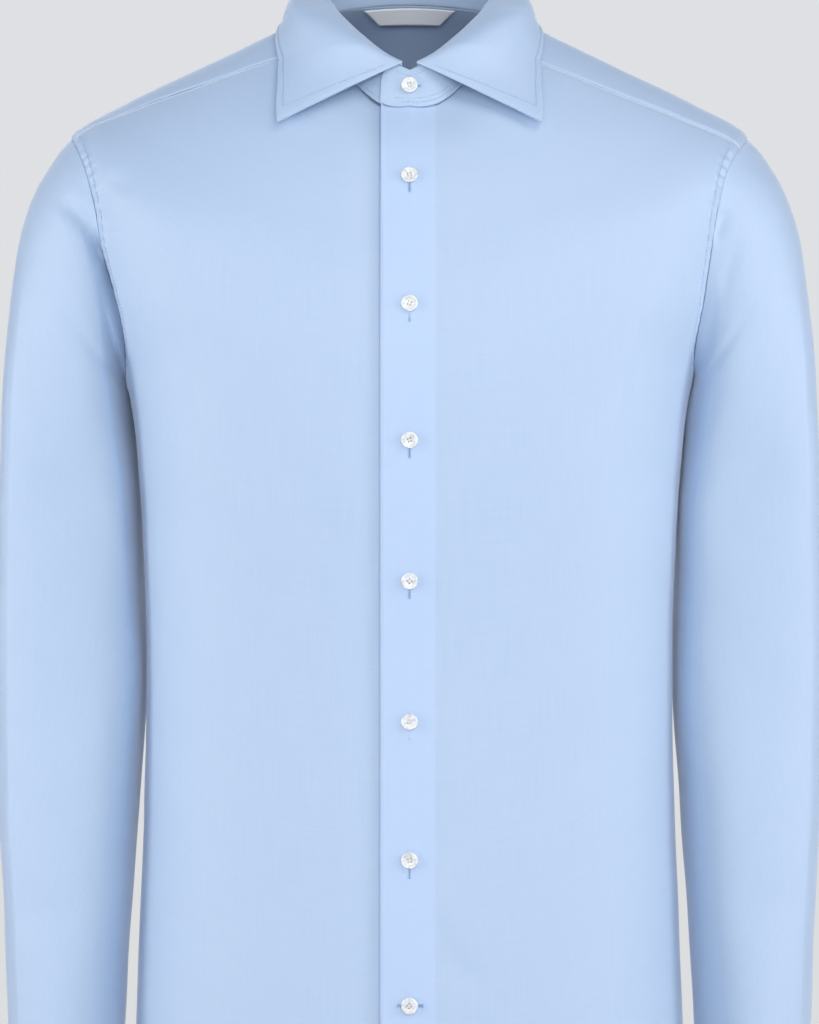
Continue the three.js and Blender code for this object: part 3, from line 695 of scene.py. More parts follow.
BACK_FOLDS = table(FOLD_COLUMNS, [
    (-180, -262, -140, -300, -70, -330, 20, -2.2, 0.3, 0.7),
    (180, -262, 142, -306, 76, -340, 20, -2.0, 0.3, 0.7),
    (-150, -400, -110, -430, -50, -440, 22, -2.4, 0.4, 0.6),
    (150, -408, 108, -440, 44, -452, 22, -2.2, 0.4, 0.6),
    (-60, -150, -56, -260, -48, -380, 24, 1.4, 0.4, 0.6),
    (62, -150, 58, -270, 52, -390, 24, 1.4, 0.4, 0.6),
    (-140, -500, -104, -560, -88, -700, 26, -1.8, 0.5, 0.3),
    (140, -510, 106, -570, 90, -700, 26, -1.6, 0.5, 0.3),
    (4, -470, 8, -560, 2, -720, 30, 1.5, 0.5, 0.3),
])


def make_back():
    arm_line = armhole_line("left", BACK_TURN, 270)
    yoke_line = torso(*back_seam(np.linspace(0, 1, 40)))

    def place(c, v):
        share, sign = sides_of(c)
        j = v * (BODY_ROWS + ARM_ROWS)
        low_angle = mix(90, 180, share)
        low_ring = mix(hem_ring(low_angle), UNDERARM, np.clip(j / BODY_ROWS, 0, 1))
        k = np.clip((j - BODY_ROWS) / ARM_ROWS, 0, 1)
        arm_angle, arm_ring = armhole("left", mix(270, BACK_TURN, k))
        high_ring = mix(arm_ring, mix(UNDERARM, BACK_RING, k), share * (2 - share))
        angle = np.where(j > BODY_ROWS, mix(arm_angle, 180, share), low_angle)
        ring = np.where(j > BODY_ROWS, high_ring, low_ring)
        bare = torso_point(angle, ring)
        to_arm, run, length = line_distance(bare, arm_line)
        to_yoke = line_distance(bare, yoke_line)[0]
        shown = turned_to(bare, sign)
        lift = felled(to_arm, run, length, 0.4) + groove(to_yoke) + folds(shown[:, [0, 2]], BACK_FOLDS)
        lift = lift + 0.35 * uneven(shown, 40, 2.0) * step(to_arm, 4, SEAM_MARGIN)
        return turned_to(torso(angle, ring, lift), sign)

    piece, area = grid_panel("back_cloth", 150, 170, place)
    give_wall(piece, CLOTH_WALL)
    dress(piece, twill, "shirting", "back")
    sewn_sheet(piece, (0.56, 0.72), area)


make_back()

# %% [markdown]
# The yoke's long edge runs along the neck, and its other edge goes down over the shoulder seam and the
# armhole and then along the back. Its seams lie over the fronts and the back, so it stands a little proud
# of them.

# %% The yoke
CAP = CAP_STEPS / (CAP_STEPS + 10)  # the share of the yoke's half length that the sleeve head takes
YOKE_PROUD = {"back": 0.3, "front": 0.2}


def yoke_neck(share):
    over = mix(FRONT_NECK, BACK_NECK, np.clip(share / CAP, 0, 1))
    behind = mix(BACK_NECK, 180, np.clip((share - CAP) / (1 - CAP), 0, 1))
    return np.where(share <= CAP, over, behind)


def make_yoke():
    seams = {side: yoke_front_line(side) for side in SIDES}
    arm_lines = {side: armhole_line(side, FRONT_TURN[side], BACK_TURN, 30) for side in SIDES}
    back_line = torso(*back_seam(np.linspace(0, 1, 40)))

    def place(c, v):
        share, sign = sides_of(c)
        on_cap = np.clip(share / CAP, 0, 1)
        left, right = (armhole(side, mix(FRONT_TURN[side], BACK_TURN, on_cap)) for side in SIDES)
        cap_angle, cap_ring = (np.where(sign > 0, a, b) for a, b in zip(left, right))
        low_angle, low_ring = back_seam(np.clip((share - CAP) / (1 - CAP), 0, 1))
        outer_angle = np.where(share <= CAP, cap_angle, low_angle)
        outer_ring = np.where(share <= CAP, cap_ring, low_ring)
        angle, ring = mix(yoke_neck(share), outer_angle, v), outer_ring * v
        bare = torso_point(angle, ring)
        lift = YOKE_PROUD["back"] * step(line_distance(bare, back_line)[0], 0.4, 2.4)
        for side, own in SIDES.items():
            to_arm, run, length = line_distance(bare, arm_lines[side])
            to_front = line_distance(bare, seams[side])[0]
            rise = felled(to_arm, run, length, 0.55) + YOKE_PROUD["front"] * step(to_front, 0.3, 2.0)
            lift = lift + np.where(sign == own, rise, 0)
        lift = lift + SLACK * uneven(turned_to(bare, sign), 36, 4.0)
        return turned_to(torso(angle, ring, lift), sign)

    piece, area = grid_panel("yoke_cloth", 216, 84, place)
    give_wall(piece, CLOTH_WALL)
    dress(piece, twill, "shirting", "yoke")
    sewn_sheet(piece, (0.50, 0.26), area)


make_yoke()

# %% [markdown]
# ## Sleeves
# A sleeve is one shaped piece, closed by a seam under the arm and set into the armhole. It leaves the body
# at a slant and swings down to hang, so its rings tilt. The table gives each ring's outer and inner edge,
# seen from the front. A sleeve is laid on these rings, which is quicker and steadier than letting a cloth
# fall.

# %% Places on a sleeve
SLEEVE = table("outer_x outer_z inner_x inner_z inner_y outer_y front_y back_y square", [
    (242.5, -112, 192, -268, 8, 4, -61, 66, 0.02),
    (254.5, -136, 188, -277, 17, 4, -60, 67, 0.02),
    (264, -166, 185.5, -289, 25, 4, -58, 68, 0.03),
    (270, -204, 184.5, -305, 32, 3, -55, 69, 0.05),
    (274.5, -252, 183.5, -327, 39, 2, -51, 70, 0.08),
    (276.5, -315, 182, -362, 45, 1, -48, 69, 0.1),
    (278, -392, 181, -414, 45, 0, -47, 65, 0.1),
    (278.5, -470, 180, -476, 34, -2, -49, 59, 0.09),
    (277.5, -550, 184.5, -550, 16, -6, -54, 50, 0.07),
    (273.6, -630, 189, -630, -2, -12, -58, 39, 0.04),
    (270.3, -706, 193, -706, -12, -18, -62, 30, 0.0),
])
SLEEVE_ROWS, HEAD_ROWS, ROW_GROWTH = 15, 3.2, 1.15
SLEEVE_STEP_DEGREES, SLEEVE_STEP_ROWS = 2, 0.25


def sleeve_ring(turn, place):
    wide, deep = squared(turn, along(SLEEVE, "square", place))
    outer, upper = (wide + 1) / 2, 0.5 + 0.5 * np.sin(np.radians(turn))
    middle_y = mix(along(SLEEVE, "inner_y", place), along(SLEEVE, "outer_y", place), upper)
    span_y = np.where(deep >= 0, along(SLEEVE, "front_y", place), along(SLEEVE, "back_y", place))
    x = mix(along(SLEEVE, "inner_x", place), along(SLEEVE, "outer_x", place), outer)
    z = mix(along(SLEEVE, "inner_z", place), along(SLEEVE, "outer_z", place), outer)
    return np.stack([x, middle_y + np.abs(deep) * (span_y - middle_y), z], -1)


def sleeve_point(side, turn, row):
    """A place on the sleeve: its first rows ease from the armhole into the rings of the table."""
    row = np.clip(row, 0, SLEEVE_ROWS)
    start = torso_point(*armhole(side, turn))
    down = np.clip(row - 1, 0, None) / (SLEEVE_ROWS - 1)
    place = down**ROW_GROWTH * (len(SLEEVE["outer_x"]) - 1)
    hold = np.clip(1 - row / HEAD_ROWS, 0, None) ** 2
    pull = np.where(row < 1, mix(1, hold, row), hold)
    return mix(sleeve_ring(turn, place), start, pull[:, None])


def sleeve_normal(side, turn, row):
    before, after = turn - SLEEVE_STEP_DEGREES, turn + SLEEVE_STEP_DEGREES
    around = sleeve_point(side, after, row) - sleeve_point(side, before, row)
    above, below = row - SLEEVE_STEP_ROWS, row + SLEEVE_STEP_ROWS
    down = sleeve_point(side, turn, below) - sleeve_point(side, turn, above)
    return -unit(np.cross(around, down))


print("cuff seam at", sleeve_point("left", np.array([0.0, 90.0]), np.array([15.0, 15.0])).round(1).tolist())

# %% [markdown]
# The folds of a sleeve are given on the sleeve itself, by the turn round it and the row down it, because
# they wrap round the arm. A pressed line runs down its front, where the iron closed it. Where the arm hangs
# close, the cloth beside the body turns back out of sight, deeper on the wearer's right.

# %% Folds of the sleeves
SLEEVE_COLUMNS = "turn0 row0 turnm rowm turn1 row1 width height start_fade end_fade"
SLEEVE_FOLDS = {
    "left": table(SLEEVE_COLUMNS, [
        (31, 0.5, 22, 0.6, 8, 0.3, 3.5, -2.2, 0.4, 0.2),
        (20, 1.6, 2, 1.5, -14, 1.0, 9, -1.2, 0.5, 0.4),
        (8, 4.6, -20, 4.0, -50, 3.4, 12, -1.4, 0.5, 0.3),
        (170, 3.0, 200, 2.2, 225, 1.4, 12, -4.0, 0.4, 0.2),
        (150, 7.6, 185, 8.1, 225, 8.4, 12, -3.0, 0.4, 0.4),
        (40, 8.2, 0, 8.4, -40, 8.9, 16, -1.6, 0.5, 0.5),
        (205, 9.4, 160, 9.6, 120, 10.2, 13, -2.4, 0.4, 0.5),
        (120, 12.9, 150, 12.6, 190, 12.9, 12, -1.8, 0.4, 0.4),
        (50, 13.7, 20, 13.5, -20, 13.9, 14, -1.1, 0.4, 0.4),
    ]),
    "right": table(SLEEVE_COLUMNS, [
        (40, 2.2, 21, 0.95, -4, 0.5, 5.5, -4.6, 0.5, 0.1),
        (46, 2.9, 26, 2.0, 0, 1.7, 8, 1.0, 0.4, 0.5),
        (20, 5.0, -14, 4.2, -50, 3.2, 13, -1.4, 0.5, 0.3),
        (170, 3.2, 200, 2.3, 225, 1.4, 12, -4.0, 0.4, 0.2),
        (150, 7.8, 185, 8.0, 225, 8.5, 12, -3.0, 0.4, 0.4),
        (40, 8.6, 0, 8.7, -40, 9.2, 16, -1.6, 0.5, 0.5),
        (205, 9.6, 160, 9.7, 120, 10.2, 13, -2.2, 0.4, 0.5),
        (120, 12.8, 150, 12.6, 190, 13.0, 12, -1.8, 0.4, 0.4),
        (50, 13.9, 20, 13.6, -20, 13.8, 14, -1.1, 0.4, 0.4),
    ]),
}
PRESS_INSET, PRESS_HEIGHT, PRESS_WIDTH = 10, 1.1, 2.5


def spread(turn, row):
    """A flat spot, in millimetres, for a place on the sleeve."""
    return turn * 0.95, 10 * row + 2.35 * row**2


def pressed_line(bare, turn, row):
    outer = np.interp(-bare[:, 2], -SLEEVE["outer_z"], SLEEVE["outer_x"])
    away = outer - PRESS_INSET - bare[:, 0]
    on_front = step(np.cos(np.radians(turn)), 0, 0.2)
    return PRESS_HEIGHT * np.exp(-np.abs(away) / PRESS_WIDTH) * step(row, 4.5, 7.0) * on_front


INNER_DIVE = {"left": 3, "right": 27}  # how far back the cloth beside the body turns
DIVE_EDGE, DIVE_LEVEL, DIVE_SLOPE = 192, -262, 0.1  # where the body's side is at the armpit and above


def inner_dive(side, bare, turn, row):
    below = np.interp(-bare[:, 2], -RINGS["side_z"], RINGS["half_width"])
    contour = np.minimum(below, DIVE_EDGE + DIVE_SLOPE * (bare[:, 2] - DIVE_LEVEL))
    near = 1 - step(bare[:, 0] - contour, 1, 11)
    span = step(row, 0.6, 2.5) * (1 - step(-bare[:, 2], 420, 540))
    return INNER_DIVE[side] * near * span * step(np.cos(np.radians(turn)), 0, 0.4)


print("sleeve folds:", sum(len(t["turn0"]) for t in SLEEVE_FOLDS.values()))

# %% [markdown]
# The sleeve's head dips a little into its seam, and its wrist is eased into the cuff with small gathers
# beside the slit, at the back of the arm. The whole sleeve is one closed grid, joined along the underarm
# seam.

# %% The sleeves
HEAD_DIP, HEAD_WIDTH, GATHER_HEIGHT, GATHER_COUNT = 0.5, 0.16, 0.5, 26
SLEEVE_SEED = {"left": 5.0, "right": 7.0}


def gathers(turn, row):
    near_cuff = np.exp(-(((row - 14.9) / 0.22) ** 2)) * step(SLEEVE_ROWS - row, 0, 0.12)
    at_back = np.exp(-(((turn - 160) / 50) ** 2))
    return GATHER_HEIGHT * near_cuff * at_back * np.sin(np.radians(turn) * GATHER_COUNT)


def sleeve_at(side, turn, row, extra=0.0):
    bare = sleeve_point(side, turn, row)
    folded = folds(np.stack(spread(turn, row), -1), SLEEVE_FOLDS[side], spread)
    folded = (folded + pressed_line(bare, turn, row)) * step(row, 0, 0.4)
    head = -HEAD_DIP * np.exp(-((row / HEAD_WIDTH) ** 2))
    soft = 0.4 * uneven(bare, 34, SLEEVE_SEED[side]) * step(row, 0.2, 2)
    lift = folded + head + gathers(turn, row) + soft + extra
    made = bare + sleeve_normal(side, turn, row) * lift[:, None]
    to_seam = line_distance(bare, armhole_line(side, -90, FRONT_TURN[side]))[0]
    made[:, 1] += crease(side, turn, to_seam, CREASE_WIDTH["sleeve"]) * (turn < 90)
    made[:, 1] += inner_dive(side, bare, turn, row)
    return made


def make_sleeve(side):
    sign = SIDES[side]

    def place(c, v):
        return sleeve_at(side, mix(-90, 270, c), v * SLEEVE_ROWS) * (sign, 1, 1)

    piece, area = grid_panel("sleeve_%s_cloth" % side, 132, 216, place, axis=(sign * 230, 5), closed=True)
    give_wall(piece, CLOTH_WALL)
    dress(piece, twill, "shirting", "sleeve_" + side)
    sewn_sheet(piece, (0.42, 0.63), area)


for side in SIDES:
    make_sleeve(side)

# %% [markdown]
# ## Cuffs and sleeve plackets
# A cuff is two layers with a stiff lining between them, closed with one button. It is a strip bent round
# the wrist, whose last part lies over its first, and its lower corners are rounded. The photo cuts the
# cuffs off, so they are made as such shirts have them.

# %% The cuffs
STIFF = 1.9
CUFF = {
    "half_width": 37.5, "half_depth": 40, "centre_x": 231.7, "end_x": 231, "top_y": -16, "end_y": -20,
    "seam": 55,
}
CUFF_TOP, CUFF_HEIGHT, CUFF_OVERLAP, CUFF_LENGTH = -706.3, 68, 26, 270
CUFF_LAYER, CUFF_ROW, CORNER, CORNER_RISE = 2.2, 6.0, 9, 3.0


def cuff_point(angle, share, lift):
    a, share, lift = np.broadcast_arrays(np.radians(angle), share, lift)
    x = mix(CUFF["centre_x"], CUFF["end_x"], share) + (CUFF["half_width"] + lift) * np.sin(a)
    y = mix(CUFF["top_y"], CUFF["end_y"], share) + (CUFF["half_depth"] + lift) * np.cos(a)
    return np.stack([x, y, CUFF_TOP - share * CUFF_HEIGHT], -1)


def make_cuff(side):
    sign = SIDES[side]
    lap = CUFF_OVERLAP / CUFF["half_depth"] / math.pi * 180

    def place(c, v):
        angle = CUFF["seam"] - lap / 2 + c * (360 + lap)
        layer = CUFF_LAYER * step(c, 0.6, 0.88)
        down = v * CUFF_HEIGHT
        from_end, from_low = np.minimum(c, 1 - c) * CUFF_LENGTH, CUFF_HEIGHT - down
        edge = np.minimum(np.minimum(down, from_low), from_end)
        stitched = groove(edge - CUFF_ROW, 0.28, 0.8) + 0.2 * step(edge, 0, 1.2)
        into_corner = np.hypot(np.clip(CORNER - from_end, 0, None), np.clip(CORNER - from_low, 0, None))
        share = v - step(into_corner, 6.5, 13) * CORNER_RISE / CUFF_HEIGHT
        return cuff_point(angle, share, layer + stitched) * (sign, 1, 1)

    piece, area = grid_panel("cuff_%s_cloth" % side, 150, 34, place, axis=(sign * 231, -18))
    give_wall(piece, STIFF, 0.45)
    dress(piece, twill, "shirting", "cuff_" + side)
    sewn_sheet(piece, (0.28, 0.07), area)


for side in SIDES:
    make_cuff(side)

# %% [markdown]
# The slit above a cuff is bound by a placket: a straight strip with a pointed end, sewn flat to the back of
# the sleeve. It is laid on the sleeve's own form, so it follows every fold under it.

# %% The sleeve plackets
PLACKET_WALL, PLACKET_LIFT, PLACKET_ROWS, PLACKET_WIDTH, PLACKET_LENGTH = 0.9, 1.1, 2.52, 22, 155
PLACKET_SPAN = (1 / 14, 4 / 14)  # the strip's two edges, as shares of the back of the sleeve


def make_placket(side):
    sign = SIDES[side]
    first, last = (mix(BACK_TURN, 270, share) for share in PLACKET_SPAN)

    def place(c, v):
        point = step(v, 0.9, 1.0) * (1 - np.abs(2 * c - 1)) * 0.12
        row = SLEEVE_ROWS - 0.02 - PLACKET_ROWS * (v * 0.94 + point * 0.5)
        edge = np.minimum(np.minimum(c, 1 - c) * PLACKET_WIDTH, np.minimum(v, 1 - v) * PLACKET_LENGTH)
        lift = PLACKET_LIFT + groove(edge - 1.6, width=0.6) - 0.25 * (1 - step(edge, 0, 0.9))
        return sleeve_at(side, mix(first, last, c), row, lift) * (sign, 1, 1)

    piece, area = grid_panel("sleeve_placket_%s_cloth" % side, 18, 90, place, axis=(sign * 230, -5))
    give_wall(piece, PLACKET_WALL)
    dress(piece, twill, "shirting", "sleeve_placket_" + side)
    sewn_sheet(piece, (0.026, 0.16), area)


for side in SIDES:
    make_placket(side)

# %% [markdown]
# ## Collar band and leaf
# A shirt collar is two pieces. The band stands up round the neck and buttons at the front, with a rounded
# end. The leaf is sewn along the band's top, rolls over it and falls to a point on each side. Both are
# stiffened, so the leaf keeps a smooth spread and its points stand a little off the chest.

# %% Places on the band
BAND_TOP = table("angle z", [
    (0, -59), (15, -51), (30, -39), (45, -27), (60, -15), (90, 4), (135, 26), (180, 33),
])
LAYER_SHIFT, BAND_LIFT, BAND_GAP = 1.15, 0.6, 0.3
TOP_RING = {"y": -4, "half_width": 58, "front": 60, "back": 59}


def band_top(angle):
    wide, deep = squared(angle, 0.0)
    y = TOP_RING["y"] - deep * np.where(deep >= 0, TOP_RING["front"], TOP_RING["back"])
    z = along(BAND_TOP, "z", place_of(BAND_TOP, "angle", from_front(angle)))
    return np.stack([TOP_RING["half_width"] * wide, y, z], -1)


def band(angle, share):
    """A point of the band between its foot and its top, and the ways that it faces and rises there."""
    foot = torso(angle, np.zeros_like(angle), BAND_LIFT)
    top = band_top(angle)
    rise = unit(top - foot)
    out = unit(np.cross(band_top(angle + 1) - band_top(angle - 1), rise))
    foot = foot + rise * BAND_GAP
    return foot + (top - foot) * np.broadcast_to(share, angle.shape)[:, None], out, rise


def band_shift(angle):
    """The buttonhole end lies outside, and the button end inside it."""
    return LAYER_SHIFT * ((1 - step(angle, 10, 48)) - step(angle, 312, 350))


BAND_START = float(angle_at(-OVER_EDGE, np.array([0.0]))[0])
BAND_END = 360 - float(angle_at(-UNDER_EDGE, np.array([0.0]))[0])
print("band from", round(BAND_START, 1), "to", round(BAND_END, 1), "degrees")

# %% [markdown]
# The band is a strip on that form, 26 mm high in front and 34 mm behind. Its rows of stitches run along the
# foot and, at the front end that shows, along the middle and the top.

# %% The band
END_DEGREES, END_SHARE, DEGREE_MM, BAND_ROW = 13, 0.45, 1.07, 1.8
FRONT_RISE, BACK_RISE, END_STANDS = 26, 34, 0.8


def make_band():
    def place(c, v):
        angle = mix(BAND_START, BAND_END, c)
        from_end = np.minimum(angle - BAND_START, BAND_END - angle)
        rounded = np.sqrt(1 - (1 - np.minimum(1, from_end / END_DEGREES)) ** 2)
        point, out, _ = band(angle, v * mix(END_SHARE, 1, rounded))
        height = mix(FRONT_RISE, BACK_RISE, step(np.abs(angle - 180), 180, 60))
        edge = np.minimum(from_end * DEGREE_MM, v * height)
        stitched = groove(edge - BAND_ROW, 0.25, 0.6)
        stands = END_STANDS * np.exp(-(((angle - BAND_START) / 6) ** 2))
        return point + out * (band_shift(angle) + STIFF / 2 + stitched + stands)[:, None]

    piece, area = grid_panel("collar_band_cloth", 250, 24, place)
    give_wall(piece, STIFF, 0.5)
    dress(piece, twill, "shirting", "collar_band")
    sewn_sheet(piece, (0.425, 0.038), area)


def band_stitches(name, share, first, last):
    angle = np.linspace(first, last, 160)
    point, out, _ = band(angle, share)
    sew(name, point + out * (band_shift(angle) + STIFF / 2)[:, None], out)


make_band()
band_stitches("band_stitches_low", 0.1, BAND_START + 13, BAND_END - 13)
band_stitches("band_stitches_middle", 0.2, BAND_START + 9, 60)
band_stitches("band_stitches_high", 0.82, BAND_START + 9, 60)

# %% [markdown]
# The leaf's free edge is a row for each angle round the neck: how far out on the shoulders it lies, how
# high it stands off them, and how far it bows out on the way down.

# %% The leaf
LEAF_EDGE = table("angle ring lift swell", [
    (39, 1.82, 8.5, 1.5), (49, 1.42, 6.5, 4), (60, 1.12, 4.6, 10.5),
    (90, 0.8, 3.2, 15.5), (135, 0.66, 3.0, 9), (180, 0.5, 3.0, 5),
])
LEAF_ROLL = table("out up", [(-0.9, 0.7), (-0.7, 2.3), (0.6, 3.4), (2.3, 3.2), (3.7, 1.8)])
LEAF_START, LEAF_GAP, ROLL_ROWS, FALL_ROWS = 5, 0.2, 4, 5
LEAF_ROWS = ROLL_ROWS + FALL_ROWS
LEAF_WALL, LEAF_FRONT, LEAF_SPREAD, LEAF_DROP, LEAF_INSET = 1.5, 190, 0.9, 135, 3.9


def leaf_edge(angle):
    place = place_of(LEAF_EDGE, "angle", angle)
    return torso(angle, along(LEAF_EDGE, "ring", place), along(LEAF_EDGE, "lift", place))


def leaf_point(u, row):
    """A place on the leaf: u runs from its front edge to the centre back, row from band to free edge."""
    angle = mix(LEAF_START, 180, u)
    top, out, rise = band(angle, 1.0)
    k = np.minimum(row, ROLL_ROWS)
    roll = top + out * (along(LEAF_ROLL, "out", k) + band_shift(angle) + LEAF_GAP)[:, None]
    roll = roll + rise * along(LEAF_ROLL, "up", k)[:, None]
    edge_angle = mix(LEAF_EDGE["angle"][0], 180, u**0.85)
    fall = np.clip((row - ROLL_ROWS) / FALL_ROWS, 0, 1)
    swell = along(LEAF_EDGE, "swell", place_of(LEAF_EDGE, "angle", edge_angle)) * np.sin(np.pi * fall**0.7)
    return mix(roll, leaf_edge(edge_angle), fall[:, None]) + out * swell[:, None]


def leaf_normal(u, row):
    around = leaf_point(np.clip(u + 0.01, 0, 1), row) - leaf_point(np.clip(u - 0.01, 0, 1), row)
    above, below = np.clip(row - 0.2, 0, LEAF_ROWS), np.clip(row + 0.2, 0, LEAF_ROWS)
    return -unit(np.cross(around, leaf_point(u, below) - leaf_point(u, above)))


def make_leaf():
    def place(c, v):
        u, sign = sides_of(c)
        row = v * LEAF_ROWS
        edge = np.minimum(u**LEAF_SPREAD * LEAF_FRONT, (1 - v) * LEAF_DROP)
        stitched = groove(edge - LEAF_INSET, width=0.7) * step(v, 0.42, 0.5)
        return turned_to(leaf_point(u, row) + leaf_normal(u, row) * stitched[:, None], sign)

    piece, area = grid_panel("collar_leaf_cloth", 260, 64, place)
    give_wall(piece, LEAF_WALL, 0.4)
    dress(piece, twill, "shirting", "collar_leaf")
    sewn_sheet(piece, (0.44, 0.085), area)


def leaf_stitches(side):
    mirror = (SIDES[side], 1, 1)
    front_u = (LEAF_INSET / LEAF_FRONT) ** (1 / LEAF_SPREAD)
    low_row = LEAF_ROWS * (1 - LEAF_INSET / LEAF_DROP)
    u = np.concatenate([np.full(60, front_u), np.linspace(front_u, 1, 200)[1:]])
    row = np.concatenate([np.linspace(4.6, low_row, 60), np.full(199, low_row)])
    sew("leaf_stitches_" + side, leaf_point(u, row) * mirror, leaf_normal(u, row) * mirror)


make_leaf()
for side in SIDES:
    leaf_stitches(side)

# %% [markdown]
# ## Buttons
# Each button is turned on a lathe: a disc with a raised rim and a dished middle, drilled with four holes.
# Spinning a profile gives the disc, and a boolean cut drills it. One button is made and then set in each
# place.

# %% One drilled button
BUTTON_RADIUS, BUTTON_THICK = 5.5 * MM, 2.4 * MM
HOLE_SPOT, HOLE_RADIUS = 0.24 * BUTTON_RADIUS, 0.095 * BUTTON_RADIUS
BUTTON_PROFILE = [  # shares of the radius and of the thickness
    (0.0, 0.0), (0.80, 0.0), (0.95, 0.22), (1.0, 0.5), (0.97, 0.84),
    (0.88, 1.0), (0.76, 0.97), (0.66, 0.76), (0.45, 0.66), (0.0, 0.62),
]


def turned_button():
    bm = bmesh.new()
    verts = [bm.verts.new((r * BUTTON_RADIUS, 0, h * BUTTON_THICK)) for r, h in BUTTON_PROFILE]
    edges = [bm.edges.new(pair) for pair in zip(verts, verts[1:])]
    bmesh.ops.spin(
        bm, geom=verts + edges, cent=(0, 0, 0), axis=(0, 0, 1), angle=math.tau, steps=40, use_merge=True
    )
    bmesh.ops.remove_doubles(bm, verts=bm.verts, dist=BUTTON_RADIUS * 1e-4)
    bmesh.ops.recalc_face_normals(bm, faces=bm.faces)
    return finish_mesh("button_blank", bm)


def drill_bits():
    bm = bmesh.new()
    for a in np.radians([45, 135, 225, 315]):
        spot = Matrix.Translation((HOLE_SPOT * math.cos(a), HOLE_SPOT * math.sin(a), BUTTON_THICK / 2))
        bmesh.ops.create_cone(
            bm, cap_ends=True, segments=14, radius1=HOLE_RADIUS, radius2=HOLE_RADIUS,
            depth=BUTTON_THICK * 3, matrix=spot,
        )
    return finish_mesh("drill_bits", bm)


blank, bits = turned_button(), drill_bits()
drill = blank.modifiers.new("drill", "BOOLEAN")
drill.operation = "DIFFERENCE"
drill.object = bits
drill.solver = "EXACT"
bpy.context.view_layer.update()
drilled = bpy.data.meshes.new_from_object(blank.evaluated_get(bpy.context.evaluated_depsgraph_get()))
for spare in (blank, bits):
    bpy.data.objects.remove(spare)
print("one button has", len(drilled.polygons), "faces")

# %% [markdown]
# A button is sewn on with white thread, crossed over the four holes. A thread is a row of short thin rods
# that rise over the middle of the button, and all the strands of one button are one mesh.

# %% Buttons in place
STRAND_RODS, STRAND_RISE, STRAND_RADIUS, STRAND_SHIFT, STRAND_SINK = 8, 0.45, 0.14, 0.11, 0.5
BUTTON_PROUD, BAND_MIDDLE = 0.95, 0.55
FRONT_BUTTONS = [  # height, and how far each is turned on its thread
    (-131, 8), (-216, -20), (-305, 15), (-397, 40), (-489, -10), (-579.5, 5), (-674, 30),
]
RING_HEIGHT = 110  # mm of height that a ring is worth along the front


def facing(point, out, up=(0, 0, 1)):
    z = Vector(out).normalized()
    x = Vector(up).cross(z).normalized()
    turn = Matrix((x, z.cross(x), z)).transposed().to_4x4()
    return Matrix.Translation(Vector(point)) @ turn


def strand(bm, start, end):
    def on(share):
        return start.lerp(end, share) + Vector((0, 0, STRAND_RISE * MM * math.sin(math.pi * share) ** 0.6))

    for k in range(STRAND_RODS):
        p, q = on(k / STRAND_RODS), on((k + 1) / STRAND_RODS)
        rod(bm, p, q, STRAND_RADIUS * MM, (q - p).length * 1.15)


def place_button(name, point, out, turn_deg):
    where = facing(point, out) @ Matrix.Rotation(math.radians(turn_deg), 4, "Z")
    mesh = drilled.copy()
    mesh.transform(where)
    piece = bpy.data.objects.new(name + "_shell", mesh)
    bpy.context.scene.collection.objects.link(piece)
    mesh.polygons.foreach_set("use_smooth", [True] * len(mesh.polygons))
    mesh.set_sharp_from_angle(angle=math.radians(40))
    dress(piece, pearl, "button", name)
    bm = bmesh.new()
    for a in (math.radians(45), math.radians(135)):
        arm = Vector((math.cos(a), math.sin(a), 0)) * HOLE_SPOT
        for shift in (-STRAND_SHIFT, STRAND_SHIFT):
            middle = Vector((-math.sin(a), math.cos(a), 0)) * shift * MM
            middle.z = STRAND_SINK * BUTTON_THICK
            strand(bm, middle + arm, middle - arm)
    bmesh.ops.transform(bm, matrix=where, verts=bm.verts)
    dress(finish_mesh(name + "_thread", bm), white_thread, "button")


def front_seat(height, proud):
    """A spot on the centre front, in metres, and the way that the cloth faces there."""
    ring = float(UNDERARM)
    for _ in range(40):
        ring += (torso_point(0.0, ring)[2] - height) / RING_HEIGHT
    out = torso_normal(0.0, ring)
    return (torso_point(0.0, ring) + out * proud) * MM, out


def band_seat(proud):
    seat, out, _ = band(np.array([0.0]), BAND_MIDDLE)
    return (seat + out * (LAYER_SHIFT + STIFF / 2 + proud))[0] * MM, out[0]


for k, (height, turn_deg) in enumerate(FRONT_BUTTONS, 1):
    place_button("button_front_%d" % k, *front_seat(height, BUTTON_PROUD), turn_deg)
place_button("button_collar", *band_seat(0.3), 12)
for side, sign in SIDES.items():
    seam = np.array([float(CUFF["seam"])])
    seat, outer = (cuff_point(seam, 0.5, lift)[0] * (sign, 1, 1) for lift in (CUFF_LAYER, CUFF_LAYER + 1))
    place_button("button_cuff_" + side, (seat + unit(outer - seat) * 0.3) * MM, outer - seat, 20)
print("buttons:", len(FRONT_BUTTONS) + 3)

# %% [markdown]
# ## Buttonholes
# A buttonhole is a slit bound by a close row of stitches. The front ones stand upright and the button sits
# at the top, so only the lower end shows. The band's and the lowest one lie across. Each stitch is a small
# egg of thread, because so small a stitch shows no more than that. The slit between the rows is a thin
# dark-blue sheet of painted shade, standing in for the shadow in the cut.

# %% Buttonholes
BINDING_PITCH, SLIT_SIDE = 0.42, 0.55
UPRIGHT, ACROSS = (0, 0, 1), (1, 0, 0)


def bead(bm, place, size, rounds=1):
    """A small egg, by its place and its three half sizes in millimetres."""
    spot = Matrix.Translation(Vector(place) * MM) @ Matrix.Diagonal((*size, 1))
    bmesh.ops.create_icosphere(bm, subdivisions=rounds, radius=MM, matrix=spot)


